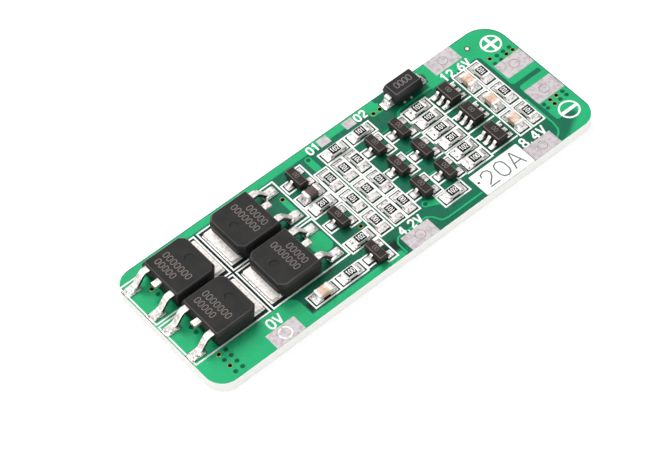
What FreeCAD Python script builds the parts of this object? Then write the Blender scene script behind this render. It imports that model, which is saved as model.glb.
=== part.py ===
# Three-cell battery management board: a green glass-epoxy circuit board with four power
# transistors, a rectifier, three cell monitors, nine small transistors, twenty-four chip
# resistors and five chip capacitors, soldered to tinned pads on its upper face.
# Sizes are in millimetres and +Z is up. The origin is the middle of the board's underside.
# +X runs along the board, from the power transistors to the output pads. +Y runs across it,
# from the edge with the cell taps to the edge with the rectifier.
import FreeCAD
import Part
import math
import os
from FreeCAD import Placement, Rotation, Vector

# Board
BOARD_THICKNESS = 1.6
BOARD_CORNER_RADIUS = 2.5
BOARD_PLUS_CORNER_RADIUS = 3.4

# Tinned pads, and holes with the land of copper that each needs round it
PAD_THICKNESS = 0.05
VIA_BORE = 0.4
VIA_LAND = 0.7
VIA_CLEARANCE = 0.05
VIA_PITCH_LONG = 1.0
VIA_PITCH_ACROSS = 0.8

# Power transistor, a moulded package with a heat tab and three leads
MOSFET_BODY_LENGTH = 6.1
MOSFET_BODY_WIDTH = 6.6
MOSFET_HEIGHT = 2.3
MOSFET_STANDOFF = 0.05
MOSFET_PARTING_HEIGHT = 1.7
MOSFET_DRAFT = 0.2
MOSFET_FLOOR_DRAFT = 0.1
MOSFET_CORNER_CUT = 0.8
MOSFET_EDGE_CUT = 0.12
MOSFET_METAL = 0.5
MOSFET_TAB_REACH = 1.0
MOSFET_TAB_WIDTH = 5.35
MOSFET_TAB_CORNER = 0.25
MOSFET_TAB_UNDER = 3.6
MOSFET_LEAD_REACH = 3.1
MOSFET_LEAD_WIDTH = 0.84
MOSFET_LEAD_SPREAD = 4.57
MOSFET_LEAD_KNEE = 0.7
MOSFET_LEAD_FOOT = 1.25
MOSFET_LEAD_BEND = 0.42
MOSFET_LEAD_EMBED = 0.6
MOSFET_STUB_REACH = 0.9
MOSFET_MARK_RADIUS = 0.5
MOSFET_MARK_OFFSET = 1.35
MOSFET_MARK_DEPTH = 0.06

# Rectifier, a moulded block with a strip folded under each end
DIODE_LENGTH = 4.3
DIODE_WIDTH = 2.6
DIODE_HEIGHT = 2.15
DIODE_STANDOFF = 0.25
DIODE_PARTING_HEIGHT = 1.15
DIODE_DRAFT = 0.22
DIODE_EDGE_CUT = 0.1
DIODE_METAL = 0.2
DIODE_LEAD_WIDTH = 0.9
DIODE_LEAD_REACH = 0.45
DIODE_LEAD_FOOT = 1.1
DIODE_LEAD_BEND = 0.2
DIODE_LEAD_EMBED = 0.5

# Small transistor with one lead on one side and two on the other
TRANSISTOR_LENGTH = 2.9
TRANSISTOR_WIDTH = 1.3
TRANSISTOR_HEIGHT = 1.1
TRANSISTOR_SPAN = 2.45

# Cell monitor with three leads on each side
MONITOR_LENGTH = 2.9
MONITOR_WIDTH = 1.6
MONITOR_HEIGHT = 1.2
MONITOR_SPAN = 2.85

# Lead and moulding sizes that both small packages share
SMALL_LEAD_PITCH = 0.95
SMALL_LEAD_WIDTH = 0.42
SMALL_METAL = 0.14
SMALL_PARTING_SHARE = 0.5
SMALL_LEAD_KNEE = 0.18
SMALL_LEAD_FOOT = 0.3
SMALL_LEAD_EMBED = 0.25
SMALL_STANDOFF = 0.08
SMALL_DRAFT = 0.09
SMALL_EDGE_CUT = 0.05

# Chip resistor and chip capacitor
CHIP_LENGTH = 2.0
CHIP_WIDTH = 1.25
RESISTOR_CERAMIC = 0.46
RESISTOR_FILM = 0.03
RESISTOR_END = 0.36
RESISTOR_COAT_INSET = 0.05
CAPACITOR_HEIGHT = 0.85
CAPACITOR_END = 0.42
CAPACITOR_END_SKIN = 0.03
CAPACITOR_EDGE_CUT = 0.07

# Pads under the parts, as lengths beyond and under a terminal
CHIP_PAD_TOE = 0.62
CHIP_PAD_HEEL = 0.48
CHIP_PAD_WIDTH = 1.4
SMALL_PAD_TOE = 0.36
SMALL_PAD_LENGTH = 0.95
TRANSISTOR_PAD_WIDTH = 0.95
MONITOR_PAD_WIDTH = 0.6
DIODE_PAD_TOE = 0.7
DIODE_PAD_LENGTH = 2.1
DIODE_PAD_WIDTH = 1.3
MOSFET_PAD_TOE = 0.35
MOSFET_PAD_LENGTH = 2.0
MOSFET_PAD_WIDTH = 1.3
MOSFET_TAB_PAD_MARGIN = 0.12

# Solder fillets, as reach along the pad and height up the terminal
CHIP_SOLDER_REACH = 0.5
CHIP_SOLDER_HEIGHT = 0.36
CHIP_SOLDER_WIDTH = 1.2
SMALL_SOLDER_REACH = 0.24
SMALL_SOLDER_HEIGHT = 0.12
DIODE_SOLDER_REACH = 0.6
DIODE_SOLDER_HEIGHT = 0.8
MOSFET_SOLDER_REACH = 0.3
MOSFET_SOLDER_HEIGHT = 0.4
TAB_SOLDER_REACH = 0.1
TAB_SOLDER_HEIGHT = 0.3

# Wire pads at the board's edges
TAP_PAD_LENGTH = 4.15
TAP_PAD_DEPTH = 2.25
SUPPLY_PAD_DEPTH = 2.5
OUTPUT_PAD_LENGTH = 4.15
OUTPUT_PAD_DEPTH = 2.65
OUTPUT_PAD_PITCH = 5.3
OUTPUT_PAD_DROP = 0.08
OUTPUT_EDGE_MARGIN = 0.15
TEST_PAD_LENGTH = 1.5
TEST_PAD_DEPTH = 1.2
WIRE_HOLE_RADIUS = 0.65

# Floor plan along the board, from its left edge. A court is the room that a part's white
# outline takes, and a gap is the room to the next one.
EDGE_TO_FEET = 0.45
TAB_TO_TAB = 1.2
FEET_TO_GATE_COURT = 1.0
CHIP_COURT_MARGIN = 0.33
CHIP_COURT_SIDE = 0.325
TRANSISTOR_COURT_MARGIN = 0.575
MONITOR_COURT_MARGIN = 0.6
CAPACITOR_COURT_SIDE = 0.425
GATE_GAP = 0.1
SENSE_GAP_WIDE = 0.3
SENSE_GAP = 0.07
DRIVER_GAP = 0.1
SHIFTER_GAP = 0.15
FILTER_GAP = 0.1
MONITOR_GAP = 0.08
SUPPLY_GAP = 0.1
OUTPUT_GAP = 0.9

# Floor plan across the board, from its near edge
TAP_STRIP = 3.85
ROW_COUNT = 3
ROW_PITCH = 4.1
TOP_CHIP_COURT = 1.75
TEST_PAD_GAP = 0.575
TEST_PAD_EDGE = 0.325
PAIR_OFFSET = 1.0
POWER_EDGE = 1.53
POWER_GAP = 0.64
GATE_EDGE = 1.6
TRANSISTOR_COURT_LENGTH = 3.5
GATE_RESISTOR_GAP = 0.15
GATE_TRANSISTOR_GAP = 0.2
GATE_VIA_GAP = 1.1
CORNER_CHIP_HEIGHT = 2.3
CORNER_CHIP_GAP = 0.07
CORNER_CHIP_PITCH = 4.0
RECTIFIER_EDGE = 1.76
RECTIFIER_SHIFT = 0.43
LIMIT_SHIFT = 0.4
LIMIT_DROP = 0.85
ZERO_TAP_SHIFT = -0.8
FIRST_TAP_SHIFT = 0.4
FIRST_TEST_SHIFT = 0.95
SECOND_TEST_SHIFT = 0.1
LEAD_VIA_OUT = 0.65
LEAD_VIA_RISE = 0.85
FOOT_VIA_RISE = 0.55
CORNER_VIA_IN = 3.0
CORNER_VIA_RISE = 3.9
GATE_VIA_SHIFT = 1.3
GATE_VIA_RISE = 0.5
OUTPUT_VIA_SHIFT = 1.35

TOUCH = 0.01  # how far a cutting tool runs past the face that it cuts


def centres_along(start, cells):
    """Places cells of (name, size, gap after) one after another; gives each centre and the end."""
    centres = {}
    here = start
    for name, size, gap in cells:
        centres[name] = here + size / 2
        here += size + gap
    return centres, here


CHIP_COURT_LENGTH = CHIP_LENGTH + 2 * (CHIP_PAD_TOE + CHIP_COURT_MARGIN)
CHIP_COURT_WIDTH = CHIP_WIDTH + 2 * CHIP_COURT_SIDE
CAPACITOR_COURT_WIDTH = CHIP_WIDTH + 2 * CAPACITOR_COURT_SIDE
TRANSISTOR_COURT = TRANSISTOR_SPAN + 2 * TRANSISTOR_COURT_MARGIN
MONITOR_COURT = MONITOR_SPAN + 2 * MONITOR_COURT_MARGIN
MOSFET_OVERALL = MOSFET_TAB_REACH + MOSFET_BODY_LENGTH + MOSFET_LEAD_REACH
GATE_START = EDGE_TO_FEET + 2 * MOSFET_OVERALL + TAB_TO_TAB + FEET_TO_GATE_COURT
COLUMNS, COLUMNS_END = centres_along(
    GATE_START,
    [
        ("gate", CHIP_COURT_LENGTH, GATE_GAP),
        ("sense_a", CHIP_COURT_WIDTH, SENSE_GAP_WIDE),
        ("sense_b", CHIP_COURT_WIDTH, SENSE_GAP),
        ("sense_c", CHIP_COURT_WIDTH, DRIVER_GAP),
        ("driver", TRANSISTOR_COURT, SHIFTER_GAP),
        ("shifter", TRANSISTOR_COURT, 0),
        ("filter", CHIP_COURT_LENGTH, FILTER_GAP),
        ("monitor", MONITOR_COURT, MONITOR_GAP),
        ("supply_capacitor", CAPACITOR_COURT_WIDTH, SUPPLY_GAP),
        ("supply_resistor", CHIP_COURT_WIDTH, OUTPUT_GAP),
        ("output", OUTPUT_PAD_LENGTH, OUTPUT_EDGE_MARGIN),
    ],
)
BOARD_LENGTH = COLUMNS_END
ROWS_TOP = TAP_STRIP + ROW_COUNT * ROW_PITCH
TEST_STRIP = TEST_PAD_GAP + TEST_PAD_DEPTH + TEST_PAD_EDGE
BOARD_WIDTH = ROWS_TOP + TOP_CHIP_COURT + TEST_STRIP

LEFT = -BOARD_LENGTH / 2
RIGHT = BOARD_LENGTH / 2
NEAR = -BOARD_WIDTH / 2
FAR = BOARD_WIDTH / 2
SEAT = BOARD_THICKNESS + PAD_THICKNESS
ROWS = [NEAR + TAP_STRIP + (ROW_COUNT - row - 0.5) * ROW_PITCH for row in range(ROW_COUNT)]
OUTPUT_MIDDLE = NEAR + TAP_STRIP + ROW_COUNT * ROW_PITCH / 2 - OUTPUT_PAD_DROP
OUTPUT_PLUS_Y = OUTPUT_MIDDLE + OUTPUT_PAD_PITCH / 2
OUTPUT_MINUS_Y = OUTPUT_MIDDLE - OUTPUT_PAD_PITCH / 2


def column(name):
    """Distance of a named column from the board's middle, along the board."""
    return LEFT + COLUMNS[name]


MOSFET_HALF = MOSFET_BODY_LENGTH / 2
POWER_LEFT = LEFT + EDGE_TO_FEET + MOSFET_LEAD_REACH + MOSFET_HALF
TAB_GAP_LEFT = POWER_LEFT + MOSFET_HALF + MOSFET_TAB_REACH
POWER_RIGHT = TAB_GAP_LEFT + TAB_TO_TAB + MOSFET_TAB_REACH + MOSFET_HALF
POWER_FAR = FAR - POWER_EDGE - MOSFET_BODY_WIDTH / 2
POWER_NEAR = POWER_FAR - MOSFET_BODY_WIDTH - POWER_GAP

GATE_ROWS, _ = centres_along(
    GATE_EDGE,
    [
        ("top_transistor", TRANSISTOR_COURT_LENGTH, 0),
        ("capacitor", CHIP_COURT_WIDTH, GATE_RESISTOR_GAP),
        ("top_resistor", CHIP_COURT_WIDTH, GATE_TRANSISTOR_GAP),
        ("middle_transistor", TRANSISTOR_COURT_LENGTH, GATE_VIA_GAP),
        ("low_resistor", CHIP_COURT_WIDTH, GATE_GAP),
        ("low_transistor", TRANSISTOR_COURT_LENGTH, 0),
    ],
)


def gate_row(name):
    """Height across the board of a part in the gate column."""
    return FAR - GATE_ROWS[name]


ALONG = 0
ACROSS = 90
FACING_LEFT = 180

# Each entry is a part's node name, its centre on the board and its turn about Z
MOSFETS = [
    ("mosfet_1", POWER_LEFT, POWER_FAR, FACING_LEFT),
    ("mosfet_2", POWER_LEFT, POWER_NEAR, FACING_LEFT),
    ("mosfet_3", POWER_RIGHT, POWER_FAR, ALONG),
    ("mosfet_4", POWER_RIGHT, POWER_NEAR, ALONG),
]
DIODE_X = column("filter") + RECTIFIER_SHIFT
DIODE_Y = FAR - RECTIFIER_EDGE
GATE_TRANSISTORS = [
    (f"gate_transistor_{n}", column("gate"), gate_row(place), ALONG)
    for n, place in enumerate(("top_transistor", "middle_transistor", "low_transistor"), 1)
]
DRIVERS = [(f"driver_transistor_{n}", column("driver"), y, ALONG) for n, y in enumerate(ROWS, 1)]
SHIFTERS = [(f"shifter_transistor_{n}", column("shifter"), y, ALONG) for n, y in enumerate(ROWS, 1)]
TRANSISTORS = GATE_TRANSISTORS + DRIVERS + SHIFTERS
MONITORS = [(f"cell_monitor_{n}", column("monitor"), y, ALONG) for n, y in enumerate(ROWS, 1)]

TOP_CHIP_Y = NEAR + ROWS_TOP + TOP_CHIP_COURT / 2
CORNER_CHIP_Y = NEAR + CORNER_CHIP_HEIGHT
CORNER_CHIP_X = LEFT + GATE_START - CORNER_CHIP_GAP - CHIP_COURT_LENGTH / 2
LIMIT_X = (column("driver") + column("shifter")) / 2 + LIMIT_SHIFT
LIMIT_Y = NEAR + TAP_STRIP - LIMIT_DROP

TEST_XS = [column("sense_b") + FIRST_TEST_SHIFT, column("driver") + SECOND_TEST_SHIFT]


def resistor_places():
    """Every chip resistor's centre and turn, in the order of its number."""
    places = [(x, TOP_CHIP_Y, ALONG) for x in TEST_XS]
    for name in ("sense_a", "sense_b", "sense_c"):
        places += [(column(name), y, ACROSS) for y in ROWS]
    for y in ROWS:
        places += [(column("filter"), y + side * PAIR_OFFSET, ALONG) for side in (1, -1)]
    places += [(column("supply_resistor"), y, ACROSS) for y in ROWS]
    places += [(column("gate"), gate_row(name), ALONG) for name in ("top_resistor", "low_resistor")]
    places.append((CORNER_CHIP_X, CORNER_CHIP_Y, ALONG))
    places.append((LIMIT_X, LIMIT_Y, ALONG))
    return places


RESISTORS = [(f"resistor_{n:02d}", *place) for n, place in enumerate(resistor_places(), 1)]
CAPACITORS = [
    (f"supply_capacitor_{n}", column("supply_capacitor"), y, ACROSS)
    for n, y in enumerate(ROWS, 1)
]
CAPACITORS.append(("gate_capacitor", column("gate"), gate_row("capacitor"), ALONG))
CAPACITORS.append(("output_capacitor", CORNER_CHIP_X - CORNER_CHIP_PITCH, CORNER_CHIP_Y, ALONG))

# Wire pads: centre, length along the board and depth across it
TAP_Y = NEAR + TAP_PAD_DEPTH / 2
ZERO_PAD_X = TAB_GAP_LEFT + TAB_TO_TAB / 2 + ZERO_TAP_SHIFT
ZERO_PAD = ((ZERO_PAD_X, TAP_Y), TAP_PAD_LENGTH, TAP_PAD_DEPTH)
WIRE_PADS = [
    ((column("sense_b") + FIRST_TAP_SHIFT, TAP_Y), TAP_PAD_LENGTH, TAP_PAD_DEPTH),
    ((column("supply_capacitor"), TAP_Y), TAP_PAD_LENGTH, TAP_PAD_DEPTH),
    (
        (column("supply_capacitor"), FAR - SUPPLY_PAD_DEPTH / 2),
        TAP_PAD_LENGTH,
        SUPPLY_PAD_DEPTH,
    ),
    ((column("output"), OUTPUT_PLUS_Y), OUTPUT_PAD_LENGTH, OUTPUT_PAD_DEPTH),
    ((column("output"), OUTPUT_MINUS_Y), OUTPUT_PAD_LENGTH, OUTPUT_PAD_DEPTH),
]
TEST_PAD_Y = FAR - TEST_PAD_EDGE - TEST_PAD_DEPTH / 2
TEST_PADS = [((x, TEST_PAD_Y), TEST_PAD_LENGTH, TEST_PAD_DEPTH) for x in TEST_XS]

# Open holes that carry current between the two faces, each tied to the part that it serves
LEAD_VIA = (POWER_LEFT - MOSFET_HALF - LEAD_VIA_OUT, POWER_FAR + LEAD_VIA_RISE)
FOOT_VIA = (POWER_RIGHT + MOSFET_HALF + MOSFET_LEAD_REACH, POWER_FAR + FOOT_VIA_RISE)
CORNER_VIA_X = LEFT + CORNER_VIA_IN
CORNER_VIA_Y = NEAR + CORNER_VIA_RISE
GATE_VIA = (
    column("gate") + GATE_VIA_SHIFT,
    gate_row("low_resistor") + CHIP_COURT_WIDTH / 2 + GATE_VIA_RISE,
)
DIODE_PAD_END = DIODE_X - DIODE_LENGTH / 2 - DIODE_LEAD_REACH - DIODE_PAD_TOE
DIODE_VIA_X = DIODE_PAD_END - VIA_LAND / 2 - VIA_CLEARANCE
OUTPUT_VIA_ROOM = OUTPUT_PAD_DEPTH / 2 + VIA_LAND / 2 + VIA_CLEARANCE
OUTPUT_VIA_X = column("output") + OUTPUT_VIA_SHIFT
PLUS_VIA_Y = OUTPUT_PLUS_Y + OUTPUT_VIA_ROOM
MINUS_VIA_Y = OUTPUT_MINUS_Y - OUTPUT_VIA_ROOM
VIAS = [
    LEAD_VIA,
    FOOT_VIA,
    GATE_VIA,
    (CORNER_VIA_X, CORNER_VIA_Y),
    (CORNER_VIA_X, CORNER_VIA_Y - 2 * VIA_PITCH_LONG),
    (DIODE_VIA_X, DIODE_Y),
    (DIODE_VIA_X - VIA_PITCH_LONG, DIODE_Y),
    (OUTPUT_VIA_X, PLUS_VIA_Y),
    (OUTPUT_VIA_X - VIA_PITCH_LONG, PLUS_VIA_Y),
    (OUTPUT_VIA_X - 3 * VIA_PITCH_LONG, PLUS_VIA_Y + VIA_PITCH_ACROSS),
    (OUTPUT_VIA_X - VIA_PITCH_LONG, MINUS_VIA_Y),
    (OUTPUT_VIA_X - 2 * VIA_PITCH_LONG, MINUS_VIA_Y),
    (OUTPUT_VIA_X - 2 * VIA_PITCH_LONG, MINUS_VIA_Y - VIA_PITCH_ACROSS),
]


def block(length, width, height, x=0, y=0, z=0):
    """A box centred on (x, y) that stands on z."""
    return Part.makeBox(length, width, height, Vector(x - length / 2, y - width / 2, z))


def rod(radius, height, x=0, y=0, z=0):
    """An upright cylinder that stands on z."""
    return Part.makeCylinder(radius, height, Vector(x, y, z))


def rounded_plate(length, width, thickness, radius, far_right_radius):
    """A plate with round corners, the far right one of its own radius, from z 0 up."""
    plate = block(length, width, thickness)
    upright = [edge for edge in plate.Edges if abs(edge.tangentAt(edge.FirstParameter).z) > 0.5]
    others = [edge for edge in upright if edge.BoundBox.XMin < 0 or edge.BoundBox.YMin < 0]
    plate = plate.makeFillet(radius, others)
    corner = [
        edge
        for edge in plate.Edges
        if edge.BoundBox.XMin > length / 2 - TOUCH and edge.BoundBox.YMin > width / 2 - TOUCH
    ]
    return plate.makeFillet(far_right_radius, corner)


def moulded_block(outline, floor, parting, top, draft, floor_draft, edge_cut):
    """A moulding that narrows both ways from its parting line, with its top edges cut.

    The outline is a function that gives the corners for an inset, and the drafts are insets.
    """
    sections = [(floor, floor_draft), (parting, 0), (top - edge_cut, draft), (top, draft + edge_cut)]
    rings = [[Vector(x, y, z) for x, y in outline(inset)] for z, inset in sections]
    outlines = [rings[0], rings[-1]]
    for low, high in zip(rings, rings[1:]):
        for i in range(len(low)):
            outlines.append([low[i - 1], low[i], high[i], high[i - 1]])
    faces = [Part.Face(Part.makePolygon(corners + corners[:1])) for corners in outlines]
    return Part.Solid(Part.makeShell(faces))


def plain_outline(length, width, inset):
    """A rectangle's corners, drawn in by the inset on every side."""
    x = length / 2 - inset
    y = width / 2 - inset
    return [(-x, -y), (x, -y), (x, y), (-x, y)]


def cornered_outline(length, width, cut, inset):
    """A rectangle with its two left corners cut at 45 degrees, drawn in by the inset."""
    x = length / 2 - inset
    y = width / 2 - inset
    c = cut - inset * (2 - math.sqrt(2))
    return [(-x + c, -y), (x, -y), (x, y), (-x + c, y), (-x, y - c), (-x, -y + c)]


def ribbon(corners, bend, thickness, width):
    """A bent metal strip: corners are (x, z) of its middle line, and no bend gives sharp ones."""
    points = [Vector(x, 0, z) for x, z in corners]
    runs = [(end - start).normalize() for start, end in zip(points, points[1:])]
    sides = []
    for side in (thickness / 2, -thickness / 2):
        across = [Vector(-run.z, 0, run.x) * side for run in runs]
        pen = points[0] + across[0]
        edges = []
        for corner, before, after, out, out_after in zip(points[1:], runs, runs[1:], across, across[1:]):
            angle = before.getAngle(after)
            shift = (out + out_after) / (1 + math.cos(angle))
            reach = bend * math.tan(angle / 2)
            if bend == 0:
                edges.append(Part.makeLine(pen, corner + shift))
                pen = corner + shift
                continue
            start = corner - before * reach + out
            end = corner + after * reach + out_after
            turn = 1 if before.x * after.z > before.z * after.x else -1
            centre = start - out + Vector(-before.z, 0, before.x) * (turn * bend)
            middle = centre + ((start + end) / 2 - centre).normalize() * start.distanceToPoint(centre)
            edges.append(Part.makeLine(pen, start))
            edges.append(Part.Arc(start, middle, end).toShape())
            pen = end
        tip = points[-1] + across[-1]
        edges.append(Part.makeLine(pen, tip))
        sides.append((edges, points[0] + across[0], tip))
    (upper, upper_root, upper_tip), (lower, lower_root, lower_tip) = sides
    ends = [Part.makeLine(upper_tip, lower_tip), Part.makeLine(upper_root, lower_root)]
    face = Part.Face(Part.Wire(Part.__sortEdges__(upper + lower + ends)))
    strip = face.extrude(Vector(0, width, 0))
    strip.translate(Vector(0, -width / 2, 0))
    return strip


def gull_lead(root, tip, exit_height, embed, knee, foot, bend, thickness, width):
    """A lead that leaves a body at the root, steps down and ends in a flat foot at the tip."""
    corners = [
        (root - embed, exit_height),
        (root + knee, exit_height),
        (tip - foot, thickness / 2),
        (tip, thickness / 2),
    ]
    return ribbon(corners, bend, thickness, width)


def solder_wedge(reach, height, width):
    """A fillet of solder against a wall at x 0, sloping down to +X."""
    corners = [Vector(0, 0, 0), Vector(reach, 0, 0), Vector(0, 0, height), Vector(0, 0, 0)]
    wedge = Part.Face(Part.makePolygon(corners)).extrude(Vector(0, width, 0))
    wedge.translate(Vector(0, -width / 2, 0))
    return wedge


def mosfet_leadframe():
    """The heat tab, the two outer leads and the cut-off middle lead, all of one sheet."""
    tab_end = -MOSFET_HALF - MOSFET_TAB_REACH
    length = MOSFET_TAB_REACH + MOSFET_TAB_UNDER
    tab = block(length, MOSFET_TAB_WIDTH, MOSFET_METAL, tab_end + length / 2)
    outer = [
        edge
        for edge in tab.Edges
        if edge.BoundBox.XMax < tab_end + TOUCH and edge.BoundBox.ZLength > TOUCH
    ]
    pieces = [tab.makeChamfer(MOSFET_TAB_CORNER, outer)]
    for side in (1, -1):
        lead = gull_lead(
            MOSFET_HALF,
            MOSFET_HALF + MOSFET_LEAD_REACH,
            MOSFET_PARTING_HEIGHT,
            MOSFET_LEAD_EMBED,
            MOSFET_LEAD_KNEE,
            MOSFET_LEAD_FOOT,
            MOSFET_LEAD_BEND,
            MOSFET_METAL,
            MOSFET_LEAD_WIDTH,
        )
        lead.translate(Vector(0, side * MOSFET_LEAD_SPREAD / 2, 0))
        pieces.append(lead)
    stub_length = MOSFET_LEAD_EMBED + MOSFET_STUB_REACH
    stub_middle = MOSFET_HALF - MOSFET_LEAD_EMBED + stub_length / 2
    stub_floor = MOSFET_PARTING_HEIGHT - MOSFET_METAL / 2
    pieces.append(block(stub_length, MOSFET_LEAD_WIDTH, MOSFET_METAL, stub_middle, 0, stub_floor))
    return pieces


def mosfet_body(metal):
    """The black moulding, drafted both ways from its parting line, around the metal."""

    def outline(inset):
        return cornered_outline(MOSFET_BODY_LENGTH, MOSFET_BODY_WIDTH, MOSFET_CORNER_CUT, inset)

    body = moulded_block(
        outline,
        MOSFET_STANDOFF,
        MOSFET_PARTING_HEIGHT,
        MOSFET_HEIGHT,
        MOSFET_DRAFT,
        MOSFET_FLOOR_DRAFT,
        MOSFET_EDGE_CUT,
    )
    mark_floor = MOSFET_HEIGHT - MOSFET_MARK_DEPTH
    mark = rod(MOSFET_MARK_RADIUS, MOSFET_MARK_DEPTH + TOUCH, -MOSFET_MARK_OFFSET, 0, mark_floor)
    return body.cut([mark] + metal)


def diode_leads():
    """One strip out of each end, down the face and folded in under the body."""
    end = DIODE_LENGTH / 2
    drop = end + DIODE_LEAD_REACH - DIODE_METAL / 2
    corners = [
        (end - DIODE_LEAD_EMBED, DIODE_PARTING_HEIGHT),
        (drop, DIODE_PARTING_HEIGHT),
        (drop, DIODE_METAL / 2),
        (drop - DIODE_LEAD_FOOT, DIODE_METAL / 2),
    ]
    right = ribbon(corners, DIODE_LEAD_BEND, DIODE_METAL, DIODE_LEAD_WIDTH)
    left = right.copy()
    left.rotate(Vector(0, 0, 0), Vector(0, 0, 1), FACING_LEFT)
    return [left, right]


def plain_body(length, width, height, standoff, parting, draft, edge_cut, metal):
    """A moulding with a rectangular outline around its metal."""

    def outline(inset):
        return plain_outline(length, width, inset)

    return moulded_block(outline, standoff, parting, height, draft, draft, edge_cut).cut(metal)


def diode_body(metal):
    """The rectifier's moulding."""
    return plain_body(
        DIODE_LENGTH,
        DIODE_WIDTH,
        DIODE_HEIGHT,
        DIODE_STANDOFF,
        DIODE_PARTING_HEIGHT,
        DIODE_DRAFT,
        DIODE_EDGE_CUT,
        metal,
    )


def small_body(width, length, height, metal):
    """The moulding of a small package, its parting line at the leads."""
    return plain_body(
        width,
        length,
        height,
        SMALL_STANDOFF,
        height * SMALL_PARTING_SHARE,
        SMALL_DRAFT,
        SMALL_EDGE_CUT,
        metal,
    )


def small_leads(width, span, height, places):
    """Gull-wing leads of a small package, at (side, offset) places."""
    leads = []
    for side, offset in places:
        lead = gull_lead(
            width / 2,
            span / 2,
            height * SMALL_PARTING_SHARE,
            SMALL_LEAD_EMBED,
            SMALL_LEAD_KNEE,
            SMALL_LEAD_FOOT,
            0,
            SMALL_METAL,
            SMALL_LEAD_WIDTH,
        )
        if side < 0:
            lead.rotate(Vector(0, 0, 0), Vector(0, 0, 1), FACING_LEFT)
        lead.translate(Vector(0, offset, 0))
        leads.append(lead)
    return leads


TRANSISTOR_PINS = [(-1, 0), (1, SMALL_LEAD_PITCH), (1, -SMALL_LEAD_PITCH)]
MONITOR_PINS = [
    (side, row * SMALL_LEAD_PITCH) for side in (-1, 1) for row in (1, 0, -1)
]


def chip_resistor():
    """One fired piece: ceramic, a metal band round each end and the raised black coat between."""
    ceramic_length = CHIP_LENGTH - 2 * RESISTOR_FILM
    pieces = [block(ceramic_length, CHIP_WIDTH, RESISTOR_CERAMIC, 0, 0, RESISTOR_FILM)]
    band_height = RESISTOR_CERAMIC + 2 * RESISTOR_FILM
    for side in (1, -1):
        band_middle = side * (CHIP_LENGTH - RESISTOR_END) / 2
        pieces.append(block(RESISTOR_END, CHIP_WIDTH, band_height, band_middle))
    coat_length = CHIP_LENGTH - 2 * RESISTOR_END
    coat_width = CHIP_WIDTH - 2 * RESISTOR_COAT_INSET
    coat_floor = RESISTOR_FILM + RESISTOR_CERAMIC / 2
    coat_height = RESISTOR_CERAMIC / 2 + RESISTOR_FILM
    pieces.append(block(coat_length, coat_width, coat_height, 0, 0, coat_floor))
    return pieces[0].fuse(pieces[1:]).removeSplitter()


def chip_capacitor():
    """One fired block with soft edges and a thicker metal cap on each end."""
    core_length = CHIP_LENGTH - 2 * CAPACITOR_END_SKIN
    core_width = CHIP_WIDTH - 2 * CAPACITOR_END_SKIN
    core_height = CAPACITOR_HEIGHT - 2 * CAPACITOR_END_SKIN
    core = block(core_length, core_width, core_height, 0, 0, CAPACITOR_END_SKIN)
    solids = []
    for side in (1, -1):
        cap_middle = side * (CHIP_LENGTH - CAPACITOR_END) / 2
        cap = block(CAPACITOR_END, CHIP_WIDTH, CAPACITOR_HEIGHT, cap_middle)
        lengthwise = [edge for edge in cap.Edges if edge.BoundBox.XLength > TOUCH]
        solids.append(cap.makeChamfer(CAPACITOR_EDGE_CUT, lengthwise))
    return core.fuse(solids).removeSplitter()


def wire_pad(centre, length, depth):
    """A pad on each face of the board, the lower one let in flush."""
    x, y = centre
    upper = block(length, depth, PAD_THICKNESS, x, y, BOARD_THICKNESS)
    lower = block(length, depth, PAD_THICKNESS, x, y)
    return [upper, lower]


def filled_pad(centre, length, depth):
    """A wire pad whose two faces are joined by a solder-filled hole."""
    x, y = centre
    upper, lower = wire_pad(centre, length, depth)
    return upper.fuse([lower, rod(WIRE_HOLE_RADIUS, SEAT, x, y)]).removeSplitter()


def at_place(shape, x, y, turn):
    """A piece drawn in its part's own frame, moved to the part's place on top of the pads."""
    placed = shape.copy()
    frame = Placement(Vector(x, y, SEAT), Rotation(Vector(0, 0, 1), turn))
    placed.Placement = frame * shape.Placement
    return placed


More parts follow.
